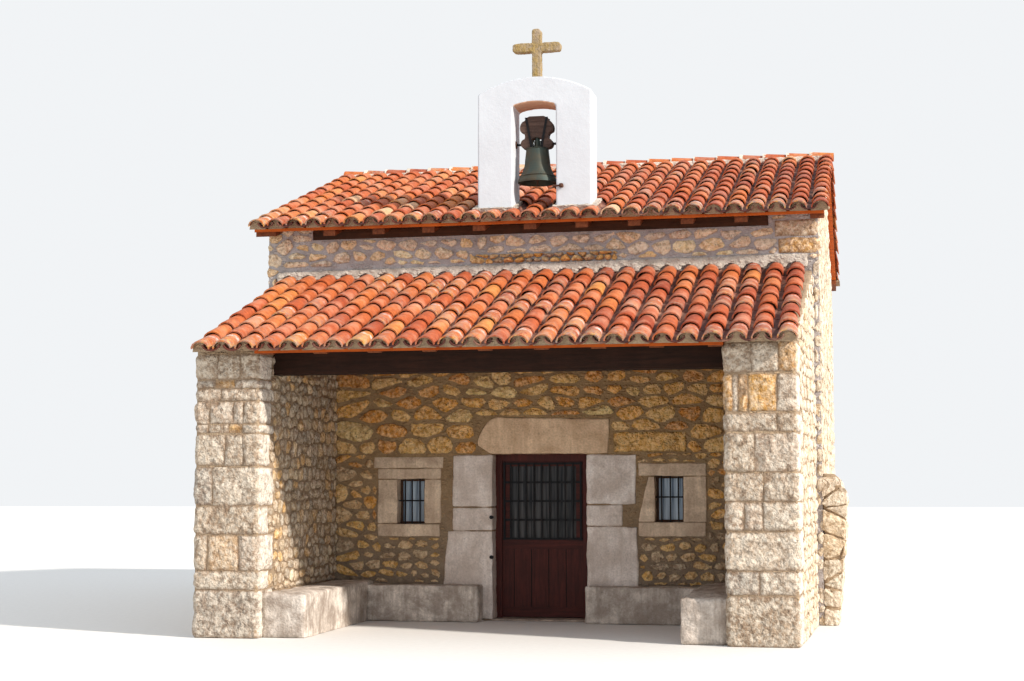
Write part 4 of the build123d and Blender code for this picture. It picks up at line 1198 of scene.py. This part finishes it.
def broken_face(x, z, edge, seed, bulge):
    """How far a point of a block's face stands out: broad hollows, sharp ridges, and worn arrises."""
    place = Vector((x * 7 + seed, z * 8, seed))
    ridge = 1 - abs(noise.noise(place * 1.3 + Vector((3, 0, 0)))) * 2.2
    height = 0.013 * bulge * noise.noise(place) + 0.009 * bulge * ridge + 0.006 * noise.noise(place * 3.3)
    worn = max(0.0, 1 - edge / 0.045)
    return 0.014 + height - 0.02 * worn ** 2


block_square = 0.024


def shape_blocks(name, outlines, strip, home, dice, tones, top_line=99, material=pier_stone):
    """Each block is a grid primitive extruded to a slab, with its edges out of line and a broken face."""
    parts = []
    for index, outline in enumerate(outlines):
        x0, x1 = outline[0][0], outline[1][0]
        z0, z1 = outline[0][1], min(outline[2][1], top_line)
        block = start_piece(bpy.ops.mesh.primitive_grid_add, "block", size=1,
                            x_subdivisions=max(3, round((x1 - x0) / block_square)),
                            y_subdivisions=max(3, round((z1 - z0) / block_square)),
                            location=((x0 + x1) / 2, (z0 + z1) / 2, -0.02))
        block.scale = (x1 - x0, z1 - z0, 1)
        settle(block)
        edit(block, (bpy.ops.mesh.extrude_region_move, {"TRANSFORM_OT_translate": {"value": (0, 0, 0.04)}}),
             (bpy.ops.mesh.select_all, {"action": "SELECT"}),
             (bpy.ops.mesh.normals_make_consistent, {"inside": False}))
        flat = mesh_points(block)
        seed = dice.uniform(0, 50)
        bulge = dice.uniform(0.5, 1.5)
        for point in flat:
            edge = min(point[0] - x0, x1 - point[0], point[1] - z0, z1 - point[1])
            if point[2] > 0:
                point[2] = max(0.002, broken_face(point[0], point[1], edge, seed, bulge))
            place = Vector((point[0] * 6, point[1] * 6, seed))
            point[0] += 0.012 * noise.noise(place)
            point[1] = max(0.0, point[1] + 0.010 * noise.noise(place + Vector((0, 7, 0))))
        set_points(block, flat)
        tone = tones.get(index, dice.uniform(0, 0.88))
        set_value(block, "tone", np.full(len(flat), tone))
        # rim marks the low parts of a block's face, which the finish darkens as dirt and painted shade.
        set_value(block, "rim", np.clip(1 - flat[:, 2] / 0.012, 0, 1))
        # Marks the part of a block that wraps on to the side facing the sun, so that the finish paints
        # sunlight on it.
        set_value(block, "pale", np.clip((flat[:, 0] - strip.faces[home][1]) / 0.03, 0, 1))
        parts.append(block)
    piece = join_pieces(parts, name)
    for corner in strip.corners:
        cut_at(piece, corner)
    set_points(piece, strip.fold(mesh_points(piece), home, 0.016))
    return finish_piece(piece, material, smooth=40)


# %% Big stones of the front and the buttress
shape_blocks("corner_stones", big_stones[1:3], body_strip, 0, Dice(19), {0: 0.97, 1: 0.9})
shape_blocks("ochre_stone", big_stones[3:], body_strip, 0, Dice(21), {0: 0.5}, material=porch_rubble)
shape_blocks("window_hood", big_stones[:1], body_strip, 0, Dice(20), {0: 0.3}, material=window_stone)


def lay_buttress():
    """The buttress leans: its stones are laid on an upright strip and then drawn in with the height."""
    low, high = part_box("buttress")
    strip = Strip([(right_x, low.y), (high.x, low.y), (high.x, high.y), (right_x, high.y)])
    dice = Dice(67)
    cells = lay_cells(strip.length, 0.0, high.z - 0.03, 0.26, 0.19, 0.022, dice)
    for home in range(3):
        held = [cell for cell in cells if strip.face_of(middle(cell)[0]) == home]
        piece = shape_stones(f"buttress_stones_{home}", held, strip, home, side_rubble, dice,
                             0.016, 0.016, 0.012, broken=0.012)
        points = mesh_points(piece)
        share = points[:, 2] / high.z
        drawn_in = np.interp(share, (0, 0.66, 0.88, 1), (0.62, 1, 1, 0.6))
        points[:, 0] = right_x + (points[:, 0] - right_x) * drawn_in
        set_points(piece, points)


lay_buttress()

# %% Porch walls
porch_slope = math.tan(porch_pitch)


def porch_wall(side):
    low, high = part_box(f"porch_wall_{side}")
    depth = high.y - low.y
    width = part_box("porch_wall_left")[1].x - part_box("porch_wall_left")[0].x
    strip = Strip([(low.x, high.y), (low.x, low.y), (low.x + width, low.y), (high.x, high.y)])
    dice = Dice(23 if side == "left" else 31)
    courses = left_courses if side == "left" else right_courses
    outlines = pier_cells(courses, depth, width)
    top = porch_roof_z - porch_slope * depth
    shape_blocks(f"pier_blocks_{side}", outlines, strip, 1, dice, ochre_blocks[side], top - 0.012)
    bench_low, bench_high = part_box(f"bench_side_{side}")
    beam_low, beam_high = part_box("porch_beam")
    inner_start = depth + width
    if side == "left":
        places = [(inner_start + y - low.y) for y in (bench_low.y, bench_high.y, beam_low.y, beam_high.y)]
    else:
        places = [(high.y - y) for y in (bench_high.y, bench_low.y, beam_high.y, beam_low.y)]
    obstacles = [rectangle(o[0][0], o[1][0], o[0][1] - 0.02, o[2][1] + 0.02) for o in outlines]
    obstacles.append(rectangle(places[0], places[1], 0, bench_high.z))
    obstacles.append(rectangle(places[2] - 0.01, places[3] + 0.01, beam_low.z, beam_high.z + 0.2))
    cells = lay_cells(strip.length, 0.0, porch_roof_z, 0.155, 0.115, 0.018, dice, False, obstacles)
    kept = {0: [], 2: []}
    for cell in cells:
        x = middle(cell)[0]
        home = strip.face_of(x)
        if home == 1:
            continue
        foot, lean = (0.0, 1) if home == 0 else (strip.length, -1)
        cell = keep_side(cell, (foot, porch_roof_z - 0.015), (lean * porch_slope, 1.0))
        if is_stone(cell):
            kept[home].append(cell)
    outer, inner = (0, 2) if side == "left" else (2, 0)
    sunny = side_rubble if side == "right" else upper_rubble
    shape_stones(f"rubble_porch_{side}_outside", kept[outer], strip, outer, sunny, dice,
                 rolling=side == "right")
    shape_stones(f"rubble_porch_{side}_inside", kept[inner], strip, inner, inner_rubble, dice,
                 crown=0.012, corner=0.036)
    core = copy_of(f"porch_wall_{side}", f"porch_core_{side}")
    apply_modifier(core, "BEVEL", width=0.02, segments=2, limit_method="ANGLE")
    finish_piece(core, pier_mortar, replaces=[f"porch_wall_{side}"], smooth=40)


porch_wall("left")
porch_wall("right")

# %% [markdown]
# ## Dressed stones, benches, gable and cross
# These solids are right in shape but too sharp. A copy of each is merged, remeshed into small even squares,
# and moved in and out by noise, so that its faces roll and its edges crumble a little.

# %% Worn copies


def wear(node, name, material, voxel, amount, size, slot, seed=0.0, smooth=60, fine=0.35):
    """Wears each loose stone of a node on its own, so that the joints between them stay open."""
    whole = copy_of(node, name)
    edit(whole, (bpy.ops.mesh.separate, {"type": "LOOSE"}))
    parts = [piece for piece in bpy.context.selected_objects]
    dice = Dice(int(seed * 10))
    for part in sorted(parts, key=lambda piece: piece.name):
        if len(parts) > 1:
            points = mesh_points(part)
            low, high = points.min(axis=0), points.max(axis=0)
            centre = (low + high) / 2
            set_points(part, centre + (points - centre) * (1 + 0.008 / (high - low)))
        apply_modifier(part, "REMESH", mode="VOXEL", voxel_size=voxel)
        apply_modifier(part, "SMOOTH", factor=0.5, iterations=2)
        roughen(part, amount, size, seed, fine)
        points = mesh_points(part)
        points[:, 2] = np.maximum(points[:, 2], 0)
        set_points(part, points)
        set_value(part, "tone", np.full(len(part.data.vertices), dice.uniform(0, 1)))
    worn = join_pieces(parts, name) if len(parts) > 1 else parts[0]
    return finish_piece(worn, material, replaces=[node], smooth=smooth)


wear("door_lintel", "lintel_stone", lintel_stone, 0.016, 0.008, 0.16, "dressed_stone", 1.3)
wear("door_jambs_left", "jamb_stones_left", limestone, 0.016, 0.012, 0.2, "dressed_stone", 2.1)
wear("door_jambs_right", "jamb_stones_right", limestone, 0.016, 0.012, 0.2, "dressed_stone", 3.7)
wear("window_stones_left", "window_surround_left", window_stone, 0.013, 0.008, 0.14, "dressed_stone", 4.2)
wear("window_stones_right", "window_surround_right", window_stone, 0.013, 0.008, 0.14, "dressed_stone", 5.9)
wear("bench_front_left", "bench_left", bench_stone, 0.02, 0.010, 0.2, "bench_stone", 6.1)
wear("bench_front_right", "bench_right", bench_stone, 0.02, 0.010, 0.2, "bench_stone", 7.4)
wear("bench_side_left", "side_bench_left", bench_stone, 0.025, 0.012, 0.22, "bench_stone", 8.8)
wear("bench_side_right", "side_bench_right", bench_stone, 0.025, 0.016, 0.2, "bench_stone", 9.3, fine=0.8)
wear("bell_gable", "white_gable", lime_render, 0.014, 0.003, 0.34, "render_white", 10.5)
wear("cross", "stone_cross", cross_stone, 0.009, 0.005, 0.05, "cross_stone", 11.2, fine=0.8)
wear("buttress", "buttress_core", pier_mortar, 0.03, 0.012, 0.13, "mortar", 12.6, fine=0.8)
wear("porch_flashing", "mortar_fillet", roof_mortar, 0.016, 0.010, 0.09, "mortar", 13.3, fine=0.6)

# %% [markdown]
# ## Curved tiles
# One tile is half of a tapered tube: a cylinder cut in half, narrowed at the upper end, and given the
# thickness of clay. Channel tiles lie hollow side up on the boards, and covers lie over the joints between
# them. Each tile rides up on the one below, and each is set a little askew.

# %% One tile
tile_length = 0.455
cover_half = 0.100
cover_height = 0.086
tile_clay = 0.014


def model_tile(name, half_width, height, taper, length=tile_length, sides=14):
    tile = start_piece(bpy.ops.mesh.primitive_cylinder_add, name, vertices=sides, radius=1, depth=1,
                       end_fill_type="NOTHING", rotation=(math.pi / 2, 0, 0))
    settle(tile)
    edit(tile, (bpy.ops.mesh.bisect, {"plane_co": (0, 0, 0), "plane_no": (0, 0, 1), "clear_inner": True}))
    tile.location = (0, length / 2, 0)
    tile.scale = (half_width, length, height)
    settle(tile)
    edit(tile, (bpy.ops.mesh.select_mode, {"type": "VERT"}))
    for vertex in tile.data.vertices:
        vertex.select = vertex.co.y > length / 2
    for edge in tile.data.edges:
        edge.select = all(tile.data.vertices[v].co.y > length / 2 for v in edge.vertices)
    for polygon in tile.data.polygons:
        polygon.select = False
    bpy.ops.object.mode_set(mode="EDIT")
    bpy.ops.transform.resize(value=(taper, 1, taper), center_override=(0, length, 0))
    bpy.ops.mesh.select_all(action="SELECT")
    bpy.ops.mesh.normals_make_consistent(inside=False)
    bpy.ops.object.mode_set(mode="OBJECT")
    apply_modifier(tile, "SOLIDIFY", thickness=tile_clay, offset=-1)
    point_outwards(tile)
    points = mesh_points(tile)
    faces = [list(p.vertices) for p in tile.data.polygons]
    bpy.data.objects.remove(tile)
    print(name, len(faces), "faces")
    return points, faces


cover_tile = model_tile("cover_tile", cover_half, cover_height, 0.78)
channel_points, channel_faces = model_tile("channel_tile", 0.094, 0.062, 0.86)
channel_points = channel_points * (1, 1, -1) + (0, 0, 0.066)
channel_tile = (channel_points, [face[::-1] for face in channel_faces])

# %% Laying a slope


class Slope:
    """A roof slope: its eave corner, the way up, and the way out of it."""

    def __init__(self, eave, pitch, back=False):
        turn = -1 if back else 1
        self.eave = np.array(eave, dtype=float)
        self.across = np.array((turn, 0, 0), dtype=float)
        self.up = np.array((0, turn * math.cos(pitch), math.sin(pitch)))
        self.out = np.array((0, -turn * math.sin(pitch), math.cos(pitch)))

    def place(self, points):
        x, y, z = points[:, :1], points[:, 1:2], points[:, 2:3]
        return self.eave + x * self.across + y * self.up + z * self.out


class TileBatch:
    """Collects tiles and makes one piece of them."""

    def __init__(self):
        self.points = []
        self.faces = []
        self.values = {"tone": [], "age": [], "along": []}

    def add(self, tile, slope, x, up, out, dice, age, length=tile_length, roll=0.0, size=1.0, stray=1.0):
        base, faces = tile
        points = base * (size, length / tile_length, size)
        along = points[:, 1] / length
        turn = Matrix.Rotation(roll + dice.uniform(-0.05, 0.05) * stray, 3, "Y")
        turn = Matrix.Rotation(dice.uniform(-0.022, 0.022) * stray, 3, "Z") @ turn
        turn = Matrix.Rotation(-0.036 + dice.uniform(-0.01, 0.01) * stray, 3, "X") @ turn
        points = points @ np.array(turn.transposed())
        points = points + (x + dice.uniform(-0.005, 0.005) * stray,
                           up + dice.uniform(-0.009, 0.009) * stray, out)
        start = sum(len(p) for p in self.points)
        self.points.append(slope.place(points))
        self.faces += [[v + start for v in face] for face in faces]
        # Tiles lean more orange where x is lower, towards the left of the front slopes: painted warm
        # glancing sunlight.
        tone = min(0.86, max(0.05, 0.5 - 0.035 * x + 0.125 * dice.source.standard_normal()))
        if dice.uniform(0, 1) < 0.015:
            tone = dice.uniform(0.92, 1.0)
        for key, value in (("tone", tone), ("age", age)):
            self.values[key].append(np.full(len(points), value))
        self.values["along"].append(along)

    def finish(self, name, replaces=(), material=fired_clay):
        piece = new_mesh_piece(name, np.concatenate(self.points), self.faces)
        for key, held in self.values.items():
            set_value(piece, key, np.concatenate(held))
        return finish_piece(piece, material, replaces=replaces, smooth=50)


def clear_of_gable(slope, x, up, length):
    """Shortens or drops a tile that would run through a leg of the bell gable."""
    world_x = slope.eave[0] + x * slope.across[0]
    offset = abs(world_x - gable_x)
    if offset < arch_half - 0.06 or offset > gable_high.x - gable_x + 0.075 or slope.across[0] < 0:
        return up, length
    start = slope.eave[1] + up * slope.up[1]
    end = start + length * slope.up[1]
    if end < gable_low.y or start > gable_high.y:
        return up, length
    if start < gable_low.y - 0.1:
        return up, (gable_low.y - start) / slope.up[1]
    if end > gable_high.y + 0.1:
        rest = (end - gable_high.y) / slope.up[1]
        return up + length - rest, rest
    return None, None


def lay_slope(name, slope, centres, length, courses, seed, replaces, gable=False):
    """Lays both kinds of tile course by course: channels between the rows of covers, then the covers."""
    dice = Dice(seed)
    covers = TileBatch()
    channels = TileBatch()
    shown = length / courses
    half_pitch = (centres[1] - centres[0]) / 2
    for row in centres:
        for course in range(courses):
            size = tile_length if course < courses - 1 else shown + 0.03
            age = dice.uniform(0.6, 1.0) if course == 0 else dice.uniform(0, 0.9)
            for batch, tile, x, start, out in ((covers, cover_tile, row, 0.006, 0.042),
                                               (channels, channel_tile, row + half_pitch, 0.0, 0.014)):
                if x > centres[-1]:
                    continue
                up, kept = course * shown + start, size
                if gable:
                    up, kept = clear_of_gable(slope, x, up, size)
                if up is not None:
                    batch.add(tile, slope, x, up, out, dice, age if batch is covers else 0.4 * age, kept)
    # The channels take the darker clay: dirt and painted shade between the covers.
    channels.finish(f"{name}_channels", material=dark_clay)
    return covers.finish(name, replaces)


# %% The slopes
main_cover_span = 3.20
main_cover_count = 29
porch_cover_ends = (-2.877, 2.936)
porch_cover_count = 26


def slope_of(node, pitch, back=False):
    low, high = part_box(node)
    return Slope(((low.x + high.x) / 2, high.y if back else low.y, low.z), pitch, back)


main_low, main_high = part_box("main_tiles_front")
main_length = (main_high.y - main_low.y) / math.cos(main_pitch)
main_centres = list(np.linspace(-main_cover_span, main_cover_span, main_cover_count))
front_slope = slope_of("main_tiles_front", main_pitch)
back_slope = slope_of("main_tiles_back", main_pitch, True)
lay_slope("tiles_main_front", front_slope, main_centres, main_length, 11, 41, ["main_tiles_front"], True)
lay_slope("tiles_main_back", back_slope, main_centres, main_length, 11, 43, ["main_tiles_back"])
porch_low, porch_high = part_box("porch_tiles")
porch_length = (porch_high.y - porch_low.y) / math.cos(porch_pitch)
porch_centres = list(np.linspace(*porch_cover_ends, porch_cover_count))
porch_slope_frame = slope_of("porch_tiles", porch_pitch)
lay_slope("tiles_porch", porch_slope_frame, porch_centres, porch_length, 8, 47, ["porch_tiles"])

# %% Ridge tiles
ridge_low, ridge_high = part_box("ridge_tiles")


def lay_ridge():
    """Covers laid end to end along the ridge, each lapping the next, with a bead of mortar at every lap."""
    dice = Dice(53)
    ridge = Slope((0, 0, 0), 0.0)
    ridge.eave = np.array((ridge_low.x, (ridge_low.y + ridge_high.y) / 2, ridge_high.z - 0.115))
    ridge.across = np.array((0.0, -1.0, 0.0))
    ridge.up = np.array((1.0, 0.0, 0.0))
    ridge.out = np.array((0.0, 0.0, 1.0))
    batch = TileBatch()
    beads = TileBatch()
    tile = model_tile("ridge_tile", 0.125, 0.105, 0.86)
    bead = model_tile("mortar_bead", 0.128, 0.109, 0.96)
    count = 22
    shown = (ridge_high.x - ridge_low.x) / count
    for i in range(count):
        size = tile_length * 0.86 if i < count - 1 else shown
        batch.add(tile, ridge, 0, i * shown, 0, dice, dice.uniform(0.2, 0.9), size, stray=0.6)
        if i:
            beads.add(bead, ridge, 0, i * shown - 0.012, 0.0, dice, 0.5, 0.045, stray=0.6)
    batch.finish("ridge_covers", ["ridge_tiles"])
    piece = new_mesh_piece("ridge_beads", np.concatenate(beads.points), beads.faces)
    finish_piece(piece, white_mortar, smooth=50)


lay_ridge()

# %% Tile mortar


def lay_eave_mortar(name, slope, centres, depth=0.16):
    """A plug of mortar under every cover at the eave, shaped to the tiles on both sides of it."""
    outline = [(-0.100, 0.0), (0.100, 0.0), (0.088, 0.030), (0.074, 0.062), (0.050, 0.092), (0.0, 0.108),
               (-0.050, 0.092), (-0.074, 0.062), (-0.088, 0.030)]
    dice = Dice(59)
    points = []
    faces = []
    count = len(outline)
    for x in centres:
        start = len(points)
        recess = 0.055 + dice.uniform(-0.012, 0.012)
        for up in (recess, recess + depth):
            for px, pz in outline:
                points.append((x + px + dice.uniform(-0.003, 0.003), up + dice.uniform(-0.006, 0.006),
                               pz + dice.uniform(-0.002, 0.002)))
        faces.append([start + i for i in range(count)])
        faces.append([start + count + i for i in reversed(range(count))])
        for i in range(count):
            j = (i + 1) % count
            faces.append([start + j, start + i, start + count + i, start + count + j])
    piece = new_mesh_piece(name, slope.place(np.array(points)), faces)
    point_outwards(piece)
    finish_piece(piece, pier_mortar)


lay_eave_mortar("eave_mortar_front", front_slope, main_centres)
lay_eave_mortar("eave_mortar_back", back_slope, main_centres)
lay_eave_mortar("eave_mortar_porch", porch_slope_frame, porch_centres)


def lay_bed(name, low, high, material, cuts, amount, seed):
    """A rough bar of mortar: a cube cut along its length and moved by noise."""
    bed = start_piece(bpy.ops.mesh.primitive_cube_add, name, size=1, location=(low + high) / 2)
    bed.scale = high - low
    settle(bed)
    edit(bed, (bpy.ops.mesh.bevel, {"offset": 0.015, "segments": 2}))
    longest = max(range(3), key=lambda axis: (high - low)[axis])
    for i in range(1, cuts):
        place = low.lerp(high, i / cuts)
        normal = [0, 0, 0]
        normal[longest] = 1
        bisect(bed, place, normal)
    roughen(bed, amount, 0.08, seed)
    return finish_piece(bed, material, smooth=50)


def lay_collars():
    """Mortar round the feet of the bell gable, up to the crests of the tiles."""
    dice = Dice(71)
    for side, x0, x1 in (("left", gable_low.x - 0.05, gable_x - arch_half + 0.03),
                         ("right", gable_x + arch_half - 0.03, gable_high.x + 0.06)):
        start = (gable_low.y - front_slope.eave[1]) / front_slope.up[1]
        end = (gable_high.y - front_slope.eave[1]) / front_slope.up[1]
        cube = start_piece(bpy.ops.mesh.primitive_cube_add, f"collar_{side}", size=1)
        edit(cube, (bpy.ops.mesh.subdivide, {"number_cuts": 12}))
        points = (mesh_points(cube) + 0.5) * (x1 - x0, end - start + 0.06, 0.085)
        points = points + (x0 - front_slope.eave[0], start - 0.03, 0.02)
        set_points(cube, front_slope.place(points))
        roughen(cube, 0.016, 0.05, dice.uniform(0, 9))
        finish_piece(cube, roof_mortar, smooth=50)


lay_collars()
ridge_y = (ridge_low.y + ridge_high.y) / 2
lay_bed("ridge_bed", Vector((ridge_low.x + 0.03, ridge_y - 0.135, ridge_high.z - 0.20)),
        Vector((ridge_high.x - 0.03, ridge_y + 0.135, ridge_high.z - 0.085)), white_mortar, 130, 0.012, 3.0)

# %% [markdown]
# ## The rest of the frame
# What keeps its shape only needs its finish. A solid of the frame is never moved or changed, so the
# material goes into its slots.

# %% Finish what stays


def paint(material, *names):
    for name in names:
        piece = nodes[name]
        piece.data.materials.clear()
        piece.data.materials.append(material)


paint(wall_mortar, "wall_front_left", "wall_front_right", "wall_over_door")
paint(outer_mortar, "wall_left", "wall_back")
paint(side_mortar, "wall_right")
paint(sill_stone, "door_sill", "floor")
paint(board_wood, "main_deck_front", "main_deck_back", "porch_deck")
paint(plate_wood, "wall_plates", "ridge_beam")
paint(rafter_wood, "main_rafters", "porch_rafters")
paint(beam_wood, "porch_beam")
paint(door_frame_wood, "door_frame")
paint(leaf_wood, "door_leaf")
paint(door_glass, "door_glass")
paint(window_glass, "window_glass")
paint(window_wood, "window_frames")
paint(black_iron, "door_grille", "door_hinge_pins", "door_hinge_leaves", "bell_yoke_irons")
paint(rusty_iron, "rope_hook", "bell_bearings", "bell_clapper")
paint(yoke_wood, "bell_yoke")
paint(bell_bronze, "bell")

# %% [markdown]
# ## Window bars
# Each window has three upright bars and a flat one across them, let into the stone.

# %% Window bars
bar_radius = 0.009
window_heights = {"left": (1.070, 1.584), "right": (1.091, 1.615)}


def add_bar(name, start, end, radius=bar_radius, sides=10):
    middle_point = (Vector(start) + Vector(end)) / 2
    direction = Vector(end) - Vector(start)
    bar = start_piece(bpy.ops.mesh.primitive_cylinder_add, name, vertices=sides, radius=radius,
                      depth=direction.length)
    bar.rotation_mode = "QUATERNION"
    bar.rotation_quaternion = direction.to_track_quat("Z", "Y")
    bar.location = middle_point
    settle(bar)
    return bar


def bar_windows():
    parts = []
    y = front_y + 0.06
    for node, places, cross_z in (("left", (-1.522, -1.441, -1.349), 1.335),
                                  ("right", (1.412, 1.510, 1.600), 1.375)):
        bottom, top = window_heights[node]
        for place in places:
            x = middle_x + place
            parts.append(add_bar("bar", (x, y, bottom - 0.012), (x, y, top + 0.012)))
        x0, x1 = (middle_x + places[0] - 0.085, middle_x + places[2] + 0.085)
        parts.append(add_bar("bar", (x0, y - 0.004, cross_z), (x1, y - 0.004, cross_z), 0.008))
    finish_piece(join_pieces(parts, "window_bars"), black_iron, smooth=50)


bar_windows()


def add_door_studs():
    """Two round iron studs on the arris of the stones at the left of the doorway."""
    face_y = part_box("door_jambs_left")[0].y
    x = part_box("door_jambs_left")[1].x - 0.006
    parts = []
    for height in (1.150, 0.705):
        parts.append(add_bar("stud", (x, face_y + 0.03, height), (x, face_y - 0.016, height), 0.021, 16))
    finish_piece(join_pieces(parts, "door_studs"), black_iron, smooth=50)


add_door_studs()
